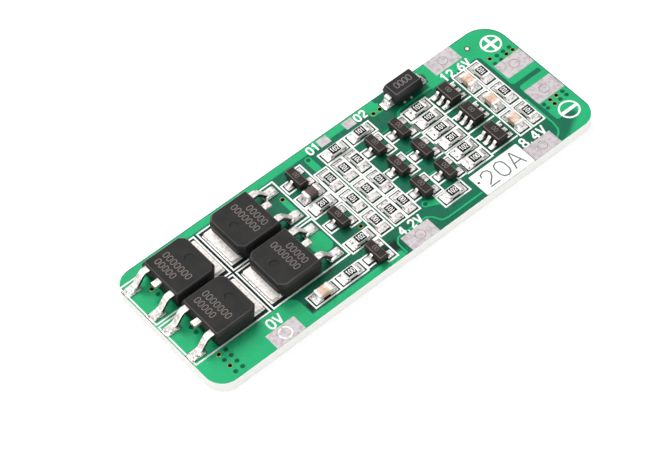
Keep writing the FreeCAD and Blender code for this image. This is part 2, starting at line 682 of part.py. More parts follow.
def pads_and_solder():
    """Every part's pads and solder fillets, made in its own frame and moved to its place."""
    kinds = []
    chip_end = CHIP_LENGTH / 2
    chip_pad = (chip_end - CHIP_PAD_HEEL, chip_end + CHIP_PAD_TOE, CHIP_PAD_WIDTH)
    chip_solder = (chip_end, CHIP_SOLDER_REACH, CHIP_SOLDER_HEIGHT, CHIP_SOLDER_WIDTH)
    chip_pins = [(-1, 0), (1, 0)]
    kinds.append((RESISTORS + CAPACITORS, chip_pins, chip_pad, chip_solder))
    diode_end = DIODE_LENGTH / 2 + DIODE_LEAD_REACH
    diode_pad_end = diode_end + DIODE_PAD_TOE
    diode_pad = (diode_pad_end - DIODE_PAD_LENGTH, diode_pad_end, DIODE_PAD_WIDTH)
    diode_solder = (diode_end, DIODE_SOLDER_REACH, DIODE_SOLDER_HEIGHT, DIODE_LEAD_WIDTH)
    kinds.append(([("rectifier", DIODE_X, DIODE_Y, ALONG)], chip_pins, diode_pad, diode_solder))
    for parts, pins, span, pad_width in (
        (TRANSISTORS, TRANSISTOR_PINS, TRANSISTOR_SPAN, TRANSISTOR_PAD_WIDTH),
        (MONITORS, MONITOR_PINS, MONITOR_SPAN, MONITOR_PAD_WIDTH),
    ):
        pad_end = span / 2 + SMALL_PAD_TOE
        pad = (pad_end - SMALL_PAD_LENGTH, pad_end, pad_width)
        solder = (span / 2, SMALL_SOLDER_REACH, SMALL_SOLDER_HEIGHT, SMALL_LEAD_WIDTH)
        kinds.append((parts, pins, pad, solder))
    lead_end = MOSFET_HALF + MOSFET_LEAD_REACH
    lead_pad_end = lead_end + MOSFET_PAD_TOE
    lead_pins = [(1, MOSFET_LEAD_SPREAD / 2), (1, -MOSFET_LEAD_SPREAD / 2)]
    lead_pad = (lead_pad_end - MOSFET_PAD_LENGTH, lead_pad_end, MOSFET_PAD_WIDTH)
    lead_solder = (lead_end, MOSFET_SOLDER_REACH, MOSFET_SOLDER_HEIGHT, MOSFET_LEAD_WIDTH)
    kinds.append((MOSFETS, lead_pins, lead_pad, lead_solder))
    tab_end = MOSFET_HALF + MOSFET_TAB_REACH
    tab_pad = (
        tab_end - MOSFET_TAB_REACH - MOSFET_TAB_UNDER,
        tab_end + MOSFET_TAB_PAD_MARGIN,
        MOSFET_TAB_WIDTH + 2 * MOSFET_TAB_PAD_MARGIN,
    )
    tab_solder_width = MOSFET_TAB_WIDTH - 2 * MOSFET_TAB_CORNER
    tab_solder = (tab_end, TAB_SOLDER_REACH, TAB_SOLDER_HEIGHT, tab_solder_width)
    kinds.append((MOSFETS, [(-1, 0)], tab_pad, tab_solder))
    pads = []
    solder = []
    for parts, pins, (inner, outer, pad_width), (wall, reach, height, width) in kinds:
        for side, offset in pins:
            pad = block(outer - inner, pad_width, PAD_THICKNESS, (inner + outer) / 2, 0, -PAD_THICKNESS)
            wedge = solder_wedge(reach, height, width)
            wedge.translate(Vector(wall, 0, 0))
            for shape, found in ((pad, pads), (wedge, solder)):
                if side < 0:
                    shape.rotate(Vector(0, 0, 0), Vector(0, 0, 1), FACING_LEFT)
                shape.translate(Vector(0, offset, 0))
                found += [at_place(shape, x, y, turn) for _, x, y, turn in parts]
    return pads, solder


def board():
    """The glass-epoxy board, drilled for the current-carrying holes and let in for the lower pads."""
    plate = rounded_plate(
        BOARD_LENGTH, BOARD_WIDTH, BOARD_THICKNESS, BOARD_CORNER_RADIUS, BOARD_PLUS_CORNER_RADIUS
    )
    through = BOARD_THICKNESS + 2 * TOUCH
    tools = [rod(VIA_BORE / 2, through, x, y, -TOUCH) for x, y in VIAS]
    tools.append(rod(WIRE_HOLE_RADIUS, through, *ZERO_PAD[0], -TOUCH))
    for (x, y), length, depth in [ZERO_PAD] + WIRE_PADS:
        tools.append(block(length, depth, PAD_THICKNESS + TOUCH, x, y, -TOUCH))
    return plate.cut(tools)


def save(name, shapes):
    """Writes one node's STEP file from one shape or several."""
    solids = [solid for shape in shapes for solid in shape.Solids]
    shape = solids[0] if len(solids) == 1 else Part.makeCompound(solids)
    if not shape.isValid():
        raise ValueError(f"{name} is not a valid shape")
    shape.exportStep(f"parts/{name}.step")


def save_package(parts, body, metal, leads_name=None):
    """Writes each part's body, and its metal in a node of its own or in one for the group."""
    group = []
    for name, x, y, turn in parts:
        save(name, [at_place(body, x, y, turn)])
        placed = [at_place(piece, x, y, turn) for piece in metal]
        if leads_name is None:
            save(f"{name}_leads", placed)
        group += placed
    if leads_name is not None:
        save(leads_name, group)


def main():
    """Builds every node and writes it to the parts folder."""
    os.makedirs("parts", exist_ok=True)
    save("board", [board()])
    wire_pads = [filled_pad(*ZERO_PAD)]
    for pad in WIRE_PADS:
        wire_pads += wire_pad(*pad)
    for (x, y), length, depth in TEST_PADS:
        wire_pads.append(block(length, depth, PAD_THICKNESS, x, y, BOARD_THICKNESS))
    save("wire_pads", wire_pads)
    pads, solder = pads_and_solder()
    save("component_pads", pads)
    save("solder_joints", solder)
    frame = mosfet_leadframe()
    save_package(MOSFETS, mosfet_body(frame), frame)
    strips = diode_leads()
    save_package([("rectifier", DIODE_X, DIODE_Y, ALONG)], diode_body(strips), strips)
    leads = small_leads(TRANSISTOR_WIDTH, TRANSISTOR_SPAN, TRANSISTOR_HEIGHT, TRANSISTOR_PINS)
    body = small_body(TRANSISTOR_WIDTH, TRANSISTOR_LENGTH, TRANSISTOR_HEIGHT, leads)
    save_package(TRANSISTORS, body, leads, "transistor_leads")
    leads = small_leads(MONITOR_WIDTH, MONITOR_SPAN, MONITOR_HEIGHT, MONITOR_PINS)
    body = small_body(MONITOR_WIDTH, MONITOR_LENGTH, MONITOR_HEIGHT, leads)
    save_package(MONITORS, body, leads)
    for parts, shape in ((RESISTORS, chip_resistor()), (CAPACITORS, chip_capacitor())):
        for name, x, y, turn in parts:
            save(name, [at_place(shape, x, y, turn)])


main()
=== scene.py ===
"""Dresses the three-cell battery management board for its studio picture.

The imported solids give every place. New meshes, worked out with numpy in millimetres, stand for
them with the board's copper, print, solder and packages, and each finish is a small class.
"""

import logging
import math
from collections.abc import Callable, Mapping, Sequence
from dataclasses import dataclass, field
from enum import Enum

import bpy
import numpy as np
from mathutils import Matrix, Vector


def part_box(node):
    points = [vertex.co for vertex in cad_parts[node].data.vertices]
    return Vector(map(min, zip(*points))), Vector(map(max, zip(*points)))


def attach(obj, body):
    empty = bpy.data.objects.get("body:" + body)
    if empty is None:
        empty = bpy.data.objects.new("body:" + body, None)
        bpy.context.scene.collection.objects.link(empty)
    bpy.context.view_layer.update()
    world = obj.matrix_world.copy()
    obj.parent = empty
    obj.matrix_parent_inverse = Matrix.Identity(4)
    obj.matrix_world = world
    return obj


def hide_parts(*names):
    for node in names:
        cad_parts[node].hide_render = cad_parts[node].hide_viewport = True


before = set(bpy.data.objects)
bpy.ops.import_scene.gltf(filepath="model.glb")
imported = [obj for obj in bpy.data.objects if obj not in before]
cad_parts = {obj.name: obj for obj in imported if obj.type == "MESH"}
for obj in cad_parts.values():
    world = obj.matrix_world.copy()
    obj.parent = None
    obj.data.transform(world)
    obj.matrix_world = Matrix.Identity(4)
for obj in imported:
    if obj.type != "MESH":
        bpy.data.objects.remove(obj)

LOG = logging.getLogger("board_looks")
METRE = 0.001
BODY = "root"
COPPER_FIELD = "copper_edge_mm"
# A turned profile stops this close to its axis, in millimetres
AXIS = 0.0001
Socket = bpy.types.NodeSocket
# Left, right, near and far edge, in millimetres
Edges = tuple[float, float, float, float]
# A line's or an outline's points
Points = tuple[tuple[float, float], ...]


class Finish(Enum):
    """The finishes on the board, each named for what the real one is, and for any light or shade painted into
    it.
    """

    SOLDER_MASK = "green_solder_mask"
    LAMINATE_EDGE = "milled_glass_epoxy"
    TINNED_PAD = "dull_tinned_pad"
    PART_PAD = "bright_part_pad"
    MASK_GAP = "bare_ring_round_pad_painted_shade"
    SOLDER = "reflowed_solder"
    LEAD = "tin_plated_lead"
    LEAD_SIDE = "sheared_lead_side_painted_shade"
    TAB = "rolled_heat_tab"
    CUT_COPPER = "sheared_copper_end"
    VIA_RIM = "bare_via_rim"
    PLATED_BORE = "plated_bore_painted_shade"
    TENTED_VIA = "masked_via_dimple"
    HOLE_TRACE = "filled_hole_trace"
    FIDUCIAL_RING = "fiducial_ring"
    PRINT = "white_epoxy_ink"
    PRINT_GAP = "unprinted_mask"
    POWER_MOULDING = "power_package_epoxy"
    # The three edge finishes give the packages' top edges a lighter epoxy: a painted highlight
    POWER_EDGE_HIGHLIGHT = "power_package_painted_edge_highlight"
    SMALL_MOULDING = "small_package_epoxy"
    SMALL_EDGE_HIGHLIGHT = "small_package_painted_edge_highlight"
    RECTIFIER_MOULDING = "rectifier_epoxy"
    RECTIFIER_EDGE_HIGHLIGHT = "rectifier_painted_edge_highlight"
    LASER_GREY = "laser_frosting"
    ALUMINA = "white_alumina"
    OVERCOAT = "black_glass_overcoat"
    CHIP_END = "plated_chip_end"
    CODE_INK = "resistor_code_ink"
    TAN_CERAMIC = "tan_dielectric"
    DARK_CERAMIC = "dark_dielectric"


def linear(colour: str) -> tuple[float, float, float, float]:
    """Turns an sRGB hex colour into a linear one.

    Args:
        colour: six hex digits after a hash.

    Returns:
        Linear red, green, blue and an alpha of 1.
    """
    levels = [int(colour[i : i + 2], 16) / 255 for i in (1, 3, 5)]
    red, green, blue = [v / 12.92 if v <= 0.04045 else ((v + 0.055) / 1.055) ** 2.4 for v in levels]
    return red, green, blue, 1.0


def per_metre(millimetres: float) -> float:
    """Gives the noise scale whose features have that real size."""
    return 1 / (millimetres * METRE)


def crests_per_metre(millimetres: float) -> float:
    """Gives the wave scale whose crests lie that far apart: scale 1 has 20 radians to a unit."""
    return per_metre(millimetres) * math.pi / 10


@dataclass(frozen=True)
class NodeGraph:
    """A tree of shader nodes that is being built."""

    tree: bpy.types.NodeTree

    def add(
        self,
        kind: str,
        inputs: Mapping[object, object] | None = None,
        settings: Mapping[str, object] | None = None,
        stops: Sequence[tuple[float, str]] = (),
    ) -> bpy.types.Node:
        """Adds one node with its settings and links.

        Args:
            kind: the node's type name.
            inputs: a socket to link or a constant to set, by input name or number.
            settings: the node's own properties.
            stops: a colour ramp's places from 0 to 1 with their hex colours.

        Returns:
            The new node.
        """
        node = self.tree.nodes.new(kind)
        for name, value in (settings or {}).items():
            setattr(node, name, value)
        for name, value in (inputs or {}).items():
            if isinstance(value, Socket):
                self.tree.links.new(value, node.inputs[name])
            else:
                node.inputs[name].default_value = value
        if stops:
            elements = node.color_ramp.elements
            for element, (place, colour) in zip(elements, (stops[0], stops[-1])):
                element.position, element.color = place, linear(colour)
            for place, colour in stops[1:-1]:
                elements.new(place).color = linear(colour)
        return node


# Most of a noise lies between these values
NOISE_SPAN = {"From Min": 0.3, "From Max": 0.7}


@dataclass(frozen=True)
class Surface:
    """The look of one real material."""

    def shading(self, graph: NodeGraph, place: Socket) -> dict[str, object]:
        """Gives the shader's inputs, worked out from the place on the object."""
        raise NotImplementedError

    def build(self, name: str) -> bpy.types.Material:
        """Makes a principled material with that shading.

        Args:
            name: what the material is called.

        Returns:
            The material.
        """
        material = bpy.data.materials.new(name)
        material.use_nodes = True
        material.node_tree.nodes.clear()
        graph = NodeGraph(material.node_tree)
        place = graph.add("ShaderNodeTexCoord").outputs["Object"]
        shader = graph.add("ShaderNodeBsdfPrincipled", self.shading(graph, place))
        graph.add("ShaderNodeOutputMaterial", {"Surface": shader.outputs[0]})
        return material


@dataclass(frozen=True)
class SolderMask(Surface):
    """Glossy green epoxy mask, screened over copper and bare laminate.

    Over copper it looks light, over the bare weave dark, and the eye sees the copper's edges. In the clear
    areas of the copper layer it turns almost black: painted shade between and beside the power packages.
    """

    over_copper: str = "#22AD72"
    cloudy_copper: str = "#1FA069"
    over_laminate: str = "#0A5A41"
    cloudy_laminate: str = "#0E674D"
    # Painted shade: the almost black mask in the clear areas, between and beside the power packages
    painted_shade: str = "#051D1A"
    blur_mm: float = 0.05
    shade_from_mm: float = 0.55
    shade_to_mm: float = 1.4
    cloud_mm: float = 6.0
    thread_mm: float = 0.48255
    thread_share: float = 0.25
    skin_mm: float = 0.9
    relief_mm: float = 0.01
    gloss_mm: float = 2.0
    smooth: float = 0.24
    rough: float = 0.34
    sheen: float = 0.2

    def colour(self, graph: NodeGraph, place: Socket) -> Socket:
        """Colours the mask by the distance to the copper's edge, which each mesh carries.

        Args:
            graph: the material's nodes.
            place: the place on the object.

        Returns:
            The colour.
        """
        field_name = {"attribute_type": "GEOMETRY", "attribute_name": COPPER_FIELD}
        distance = graph.add("ShaderNodeAttribute", settings=field_name).outputs["Fac"]
        edge = {"Value": distance, "From Min": self.blur_mm, "From Max": -self.blur_mm}
        copper = graph.add("ShaderNodeMapRange", edge, {"interpolation_type": "SMOOTHSTEP"}).outputs[0]
        # Only the clear areas reach past the held half millimetre: there the mask turns to painted shade
        beyond = {"Value": distance, "From Min": self.shade_from_mm, "From Max": self.shade_to_mm}
        clear = graph.add("ShaderNodeMapRange", beyond).outputs[0]
        clouds = {"Vector": place, "Scale": per_metre(self.cloud_mm), "Detail": 3.0}
        cloud = graph.add("ShaderNodeTexNoise", clouds).outputs[0]
        light_stops = [(0.3, self.cloudy_copper), (0.7, self.over_copper)]
        light = graph.add("ShaderNodeValToRGB", {0: cloud}, stops=light_stops).outputs[0]
        dark_stops = [(0.3, self.over_laminate), (0.7, self.cloudy_laminate)]
        dark = graph.add("ShaderNodeValToRGB", {0: cloud}, stops=dark_stops).outputs[0]
        mixed = {"Factor": copper, 6: dark, 7: light}
        near = graph.add("ShaderNodeMix", mixed, {"data_type": "RGBA"}).outputs[2]
        mixed = {"Factor": clear, 6: near, 7: linear(self.painted_shade)}
        return graph.add("ShaderNodeMix", mixed, {"data_type": "RGBA"}).outputs[2]

    def shading(self, graph: NodeGraph, place: Socket) -> dict[str, object]:
        """Lets the glass threads show faintly in the mask's skin.

        Args:
            graph: the material's nodes.
            place: the place on the object.

        Returns:
            The shader's inputs.
        """
        scale = crests_per_metre(self.thread_mm)
        threads = {"Vector": place, "Scale": scale, "Distortion": 0.6, "Detail": 0.0}
        weft = graph.add("ShaderNodeTexWave", threads, {"bands_direction": "X"}).outputs[1]
        warp = graph.add("ShaderNodeTexWave", threads, {"bands_direction": "Y"}).outputs[1]
        woven = graph.add("ShaderNodeMath", {0: weft, 1: warp}, {"operation": "MAXIMUM"}).outputs[0]
        skin = graph.add("ShaderNodeTexNoise", {"Vector": place, "Scale": per_metre(self.skin_mm)}).outputs[0]
        terms = {0: woven, 1: self.thread_share, 2: skin}
        height = graph.add("ShaderNodeMath", terms, {"operation": "MULTIPLY_ADD"}).outputs[0]
        relief = {"Height": height, "Distance": self.relief_mm * METRE, "Strength": 0.5}
        patches = {"Vector": place, "Scale": per_metre(self.gloss_mm)}
        haze = graph.add("ShaderNodeTexNoise", patches).outputs[0]
        gloss = {"Value": haze, **NOISE_SPAN, "To Min": self.smooth, "To Max": self.rough}
        return {
            "Base Color": self.colour(graph, place),
            "Normal": graph.add("ShaderNodeBump", relief).outputs[0],
            "Roughness": graph.add("ShaderNodeMapRange", gloss).outputs[0],
            "Specular IOR Level": self.sheen,
        }


@dataclass(frozen=True)
class MilledLaminate(Surface):
    """Cut edge of glass epoxy: chalky cream with the faint lines of its glass layers."""

    resin: str = "#EFEFEA"
    glass: str = "#FAFAF7"
    # The real layers are about 0.2 mm, too fine to show, so they are drawn twice as coarse
    layer_mm: float = 0.40212
    fuzz_mm: float = 0.12
    fuzz_depth_mm: float = 0.02
    roughness: float = 0.75

    def shading(self, graph: NodeGraph, place: Socket) -> dict[str, object]:
        """Bands the edge up its thickness, and roughens it as a mill does.

        Args:
            graph: the material's nodes.
            place: the place on the object.

        Returns:
            The shader's inputs.
        """
        scale = crests_per_metre(self.layer_mm)
        layers = {"Vector": place, "Scale": scale, "Distortion": 2.0, "Detail Scale": 3.0}
        bands = graph.add("ShaderNodeTexWave", layers, {"bands_direction": "Z"}).outputs[1]
        stops = [(0.2, self.resin), (0.8, self.glass)]
        fuzz = graph.add("ShaderNodeTexNoise", {"Vector": place, "Scale": per_metre(self.fuzz_mm)}).outputs[0]
        relief = {"Height": fuzz, "Distance": self.fuzz_depth_mm * METRE, "Strength": 0.6}
        return {
            "Base Color": graph.add("ShaderNodeValToRGB", {0: bands}, stops=stops).outputs[0],
            "Normal": graph.add("ShaderNodeBump", relief).outputs[0],
            "Roughness": self.roughness,
        }


@dataclass(frozen=True)
class Metal(Surface):
    """A plated or soldered metal with cloudy patches and a fine, uneven skin."""

    bright: str
    dull: str
    # A darkest tone in patches; on the solder and the part pads it is partly painted reflection
    speck: str | None = None
    patch_mm: float = 0.3
    # The real grains are too fine to show, so the skin is drawn coarser
    skin_mm: float = 0.1
    skin_depth_mm: float = 0.01
    smooth: float = 0.3
    rough: float = 0.5
    metallic: float = 1.0

    def shading(self, graph: NodeGraph, place: Socket) -> dict[str, object]:
        """Gives the metal two tones, a range of gloss and a bumped skin.

        Args:
            graph: the material's nodes.
            place: the place on the object.

        Returns:
            The shader's inputs.
        """
        patches = {"Vector": place, "Scale": per_metre(self.patch_mm), "Detail": 3.0}
        patch = graph.add("ShaderNodeTexNoise", patches).outputs[0]
        stops = [(0.38, self.dull), (0.56, self.bright)]
        if self.speck:
            stops = [(0.3, self.speck), (0.4, self.dull), (0.52, self.bright)]
        gloss = {"Value": patch, **NOISE_SPAN, "To Min": self.rough, "To Max": self.smooth}
        skin = graph.add("ShaderNodeTexNoise", {"Vector": place, "Scale": per_metre(self.skin_mm)}).outputs[0]
        relief = {"Height": skin, "Distance": self.skin_depth_mm * METRE, "Strength": 0.6}
        return {
            "Base Color": graph.add("ShaderNodeValToRGB", {0: patch}, stops=stops).outputs[0],
            "Metallic": self.metallic,
            "Roughness": graph.add("ShaderNodeMapRange", gloss).outputs[0],
            "Normal": graph.add("ShaderNodeBump", relief).outputs[0],
        }


@dataclass(frozen=True)
class Moulding(Surface):
    """Transfer-moulded epoxy, filled with silica: matt, with a fine sandy skin."""

    base: str = "#1D1C1C"
    cloud: str = "#252423"
    # The real grit is about 0.05 mm, too fine to show, so it is drawn coarser
    grain_mm: float = 0.09
    grain_depth_mm: float = 0.006
    roughness: float = 0.55
    cloud_mm: float = 1.5
    sheen: float = 0.25

    def shading(self, graph: NodeGraph, place: Socket) -> dict[str, object]:
        """Gives the epoxy a cloudy tone, and grain in its height and its gloss.

        Args:
            graph: the material's nodes.
            place: the place on the object.

        Returns:
            The shader's inputs.
        """
        clouds = {"Vector": place, "Scale": per_metre(self.cloud_mm), "Detail": 4.0}
        cloud = graph.add("ShaderNodeTexNoise", clouds).outputs[0]
        stops = [(0.35, self.base), (0.65, self.cloud)]
        sand = {"Vector": place, "Scale": per_metre(self.grain_mm), "Detail": 1.0}
        grain = graph.add("ShaderNodeTexNoise", sand).outputs[0]
        relief = {"Height": grain, "Distance": self.grain_depth_mm * METRE, "Strength": 0.7}
        smooth, rough = self.roughness - 0.06, self.roughness + 0.08
        gloss = {"Value": grain, **NOISE_SPAN, "To Min": smooth, "To Max": rough}
        return {
            "Base Color": graph.add("ShaderNodeValToRGB", {0: cloud}, stops=stops).outputs[0],
            "Normal": graph.add("ShaderNodeBump", relief).outputs[0],
            "Roughness": graph.add("ShaderNodeMapRange", gloss).outputs[0],
            "Specular IOR Level": self.sheen,
        }


@dataclass(frozen=True)
class Glaze(Surface):
    """A fired or printed layer with one tone, speckled, and a given gloss."""

    base: str
    speck: str
    # Drawn coarser than the real grain, which is too fine to show
    speck_mm: float = 0.3
    roughness: float = 0.4
    depth_mm: float = 0.004
    sheen: float = 0.5

    def shading(self, graph: NodeGraph, place: Socket) -> dict[str, object]:
        """Gives the layer a speckled colour and a slightly uneven skin.

        Args:
            graph: the material's nodes.
            place: the place on the object.

        Returns:
            The shader's inputs.
        """
        specks = {"Vector": place, "Scale": per_metre(self.speck_mm), "Detail": 3.0}
        speck = graph.add("ShaderNodeTexNoise", specks).outputs[0]
        stops = [(0.35, self.base), (0.65, self.speck)]
        relief = {"Height": speck, "Distance": self.depth_mm * METRE, "Strength": 0.5}
        smooth, rough = self.roughness - 0.05, self.roughness + 0.05
        gloss = {"Value": speck, **NOISE_SPAN, "To Min": smooth, "To Max": rough}
        return {
            "Base Color": graph.add("ShaderNodeValToRGB", {0: speck}, stops=stops).outputs[0],
            "Normal": graph.add("ShaderNodeBump", relief).outputs[0],
            "Roughness": graph.add("ShaderNodeMapRange", gloss).outputs[0],
            "Specular IOR Level": self.sheen,
        }


FINISHES: dict[Finish, Surface] = {
    Finish.SOLDER_MASK: SolderMask(),
    Finish.LAMINATE_EDGE: MilledLaminate(),
    # Levelled tin, handled and slightly oxidised: pinkish grey, almost without a mirror
    Finish.TINNED_PAD: Metal(
        "#C6BFC2", "#B3AAAE", None, 0.45, 0.2, skin_depth_mm=0.015, smooth=0.42, rough=0.6, metallic=0.5
    ),
    # Tin left by the stencilled paste on a part's pad, brighter than a wire pad; its darkest patches are
    # painted reflections
    Finish.PART_PAD: Metal(
        "#FAF8F7", "#D6D1CE", "#5F5A57", 0.25, 0.12, skin_depth_mm=0.02, smooth=0.25, rough=0.4, metallic=0.8
    ),
    # The mask stands back from each pad and leaves a ring of bare laminate, coloured near black partly as
    # painted shade round the pad
    Finish.MASK_GAP: Glaze("#101A16", "#1A2520", roughness=0.6, sheen=0.2),
    # Solder that flowed and froze: bright, with grey dendrites in patches and near-black patches of painted
    # reflection
    Finish.SOLDER: Metal(
        "#EDEAE8", "#BBB6B3", "#2E2A28", 0.3, 0.16, skin_depth_mm=0.04, smooth=0.24, rough=0.38, metallic=0.8
    ),
    # Matt tin plate over copper alloy: silvery, a little streaky
    Finish.LEAD: Metal(
        "#EFEAE7", "#C2BBB7", patch_mm=0.4, skin_mm=0.15, skin_depth_mm=0.015, rough=0.46, metallic=0.82
    ),
    # Sheared after plating, so the sides of the leads are duller than their rolled faces; their dark colour
    # is also painted shade
    Finish.LEAD_SIDE: Metal("#5E5653", "#37322F", patch_mm=0.5, skin_mm=0.2, smooth=0.35),
    # Rolled and tinned copper sheet of the heat tab, duller than the leads
    Finish.TAB: Metal(
        "#F4EDE9", "#DAD2CD", skin_mm=0.09, skin_depth_mm=0.012, smooth=0.42, rough=0.55, metallic=0.45
    ),
    # The bare copper where a lead was cut off
    Finish.CUT_COPPER: Metal("#B5836C", "#8E6250", patch_mm=0.2, skin_mm=0.08, smooth=0.35, metallic=0.6),
    # Copper rim that the mask leaves bare, thinly tinned: straw coloured
    Finish.VIA_RIM: Metal("#B0B066", "#868A4C", skin_depth_mm=0.008),
    # The copper lining of an open hole, coloured dark as painted shade for its own shadow
    Finish.PLATED_BORE: Metal("#2A2418", "#15110B", skin_depth_mm=0.008, smooth=0.5, rough=0.7, metallic=0.3),
    # Mask that sank into a filled hole: a darker green dimple
    Finish.TENTED_VIA: Glaze("#034E34", "#065C3D", roughness=0.35, sheen=0.15),
    # The tin lies thin over the rim of a pad's filled hole and shows some copper
    Finish.HOLE_TRACE: Metal(
        "#AC9F8F", "#8D8070", skin_mm=0.15, skin_depth_mm=0.02, smooth=0.4, rough=0.55, metallic=0.5
    ),
    # Bare laminate in the opening round the placement mark
    Finish.FIDUCIAL_RING: Glaze("#3F5C3C", "#4C6844", sheen=0.2),
    # Screen-printed epoxy ink: chalk white, slightly rough
    Finish.PRINT: Glaze("#EFF1EE", "#F8F9F7", 0.4, 0.5, 0.006),
    # Mask that shows where the printed field is left open
    Finish.PRINT_GAP: Glaze("#27332F", "#33413C", 0.4, 0.35),
    # Epoxies of the three kinds of package, each with a lighter line along its upper edge as a painted
    # highlight
    Finish.POWER_MOULDING: Moulding(),
    Finish.POWER_EDGE_HIGHLIGHT: Moulding("#434140", "#4E4B4A", roughness=0.4),
    Finish.SMALL_MOULDING: Moulding("#1F1B19", "#2A2422", 0.1, 0.008, 0.48, 0.5),
    Finish.SMALL_EDGE_HIGHLIGHT: Moulding("#7A6F68", "#867A72", 0.1, 0.008, 0.4, 0.5),
    Finish.RECTIFIER_MOULDING: Moulding("#171618", "#201F21", 0.12, 0.008, 0.4),
    Finish.RECTIFIER_EDGE_HIGHLIGHT: Moulding("#5E5B5C", "#6A6768", 0.12, 0.008, 0.35),
    # The laser only roughens the epoxy, which turns it grey
    Finish.LASER_GREY: Glaze("#6C6561", "#7E7672", 0.15, 0.7),
    # Fired aluminium oxide, the white body of a chip resistor
    Finish.ALUMINA: Glaze("#EDEBE7", "#F6F4F1", roughness=0.5),
    # Black glass over the resistive film, and the white ink of its value
    Finish.OVERCOAT: Glaze("#08080A", "#121114", 0.25, sheen=0.2),
    Finish.CODE_INK: Glaze("#E4E4E2", "#F0F0EE", 0.2, 0.55),
    # Nickel and tin over the chips' fired silver ends
    Finish.CHIP_END: Metal(
        "#F6F3F2", "#D0CBC8", None, 0.4, 0.12, skin_depth_mm=0.015, smooth=0.25, rough=0.42, metallic=0.75
    ),
    # Fired dielectric of the capacitors, in two grades
    Finish.TAN_CERAMIC: Glaze("#BD9175", "#EBD5C3", 0.45, 0.42),
    Finish.DARK_CERAMIC: Glaze("#43322D", "#58463F", roughness=0.42),
}


@dataclass
class Patch:
    """A closed surface: points in millimetres, and faces with a finish for each group."""

    points: np.ndarray
    faces: list[tuple[np.ndarray, Finish]]
    field_values: np.ndarray | None = None

    def volume(self) -> float:
        """Adds up the tetrahedra from the origin to each face, cut into a fan of triangles.

        Returns:
            The volume, negative where the faces look inward.
        """
        total = 0.0
        for group, _ in self.faces:
            corners = self.points[group]
            first, second, third = corners[:, :1], corners[:, 1:-1], corners[:, 2:]
            total += np.sum(first * np.cross(second, third))
        return total / 6

    def outward(self) -> "Patch":
        """Turns every face round where the volume comes out negative.

        Returns:
            The patch itself.
        """
        if self.volume() < 0:
            self.faces = [(group[:, ::-1], finish) for group, finish in self.faces]
        return self

    def placed(self, x: float, y: float, z: float = 0.0, turn: float = 0.0) -> "Patch":
        """Gives a copy turned about Z and then moved.

        Args:
            x: shift along the board, in millimetres.
            y: shift across it.
            z: shift up.
            turn: degrees, counter-clockwise from above.

        Returns:
            The moved patch.
        """
        c, s = math.cos(math.radians(turn)), math.sin(math.radians(turn))
        spin = np.array([[c, s, 0.0], [-s, c, 0.0], [0.0, 0.0, 1.0]])
        return Patch(self.points @ spin + np.array([x, y, z]), self.faces, self.field_values)

    def masked(self, edge_mm: float = 0.0) -> "Patch":
        """Gives every point the same distance to the copper's edge, for the mask's look."""
        self.field_values = np.full(len(self.points), edge_mm)
        return self


def tube(rings: np.ndarray, finish: Finish, looped: bool = False) -> Patch:
    """Joins rings of points into a closed surface.

    Args:
        rings: an array of rows by points around by three.
        finish: the finish of every face.
        looped: whether the last ring joins the first, instead of both having a lid.

    Returns:
        The surface.
    """
    rows, around = rings.shape[:2]
    index = np.arange(rows * around).reshape(rows, around)
    ahead = np.roll(index, -1, axis=1)
    above, above_ahead = np.roll(index, -1, axis=0), np.roll(ahead, -1, axis=0)
    count = rows if looped else rows - 1
    quads = np.stack([index, ahead, above_ahead, above], axis=-1)[:count].reshape(-1, 4)
    faces = [(quads, finish)]
    if not looped:
        faces += [(index[:1, ::-1], finish), (index[-1:], finish)]
    return Patch(rings.reshape(-1, 3), faces).outward()


def slab(
    top: np.ndarray,
    bottom: np.ndarray,
    finish: Finish,
    wall: Finish | None = None,
    kept: np.ndarray | None = None,
) -> Patch:
    """Closes two grids of points with a wall along every free edge of their kept cells.

    An edge is free when no neighbouring cell walks it the other way.

    Args:
        top: the upper grid, rows by columns by three.
        bottom: the lower grid, of the same shape.
        finish: the finish of both faces.
        wall: the finish of the wall, if it differs.
        kept: which cells exist, if not all.

    Returns:
        The surface.
    """
    rows, columns = top.shape[:2]
    size = rows * columns
    index = np.arange(size).reshape(rows, columns)
    if kept is None:
        kept = np.ones((rows - 1, columns - 1), bool)
    cells = np.stack([index[:-1, :-1], index[:-1, 1:], index[1:, 1:], index[1:, :-1]], axis=-1)
    upper = cells[kept]
    edges = np.stack([upper, np.roll(upper, -1, axis=1)], axis=-1).reshape(-1, 2)
    walked = edges[:, 0] * size + edges[:, 1]
    back = edges[:, 1] * size + edges[:, 0]
    free = edges[~np.isin(back, walked)]
    walls = np.stack([free[:, 0], free[:, 0] + size, free[:, 1] + size, free[:, 1]], axis=-1)
    used, fresh = np.unique(upper, return_inverse=True)
    upper = fresh.reshape(-1, 4)
    renumber = np.full(2 * size, -1)
    renumber[used] = np.arange(len(used))
    renumber[used + size] = np.arange(len(used)) + len(used)
    points = np.concatenate([top.reshape(-1, 3)[used], bottom.reshape(-1, 3)[used]])
    faces = [
        (upper, finish),
        (upper[:, ::-1] + len(used), finish),
        (renumber[walls], wall or finish),
    ]
    return Patch(points, faces).outward()


def rounded_rectangle(half_x: float, half_y: float, radius: float, steps: int = 3) -> np.ndarray:
    """Walks a rectangle with round corners, counter-clockwise.

    Each corner is a quarter circle about a centre that lies one radius in from both sides.

    Args:
        half_x: half the size along X.
        half_y: half the size along Y.
        radius: the corners' radius.
        steps: how many chords a corner has.

    Returns:
        Points around by two.
    """
    angles = np.linspace(0, math.pi / 2, steps + 1)
    quarter = np.arange(4)[:, None] * math.pi / 2 + angles[None, :]
    signs = np.array([(1, 1), (-1, 1), (-1, -1), (1, -1)])
    centres = signs * (half_x - radius, half_y - radius)
    walk = centres[:, None, :] + radius * np.stack([np.cos(quarter), np.sin(quarter)], axis=-1)
    return walk.reshape(-1, 2)


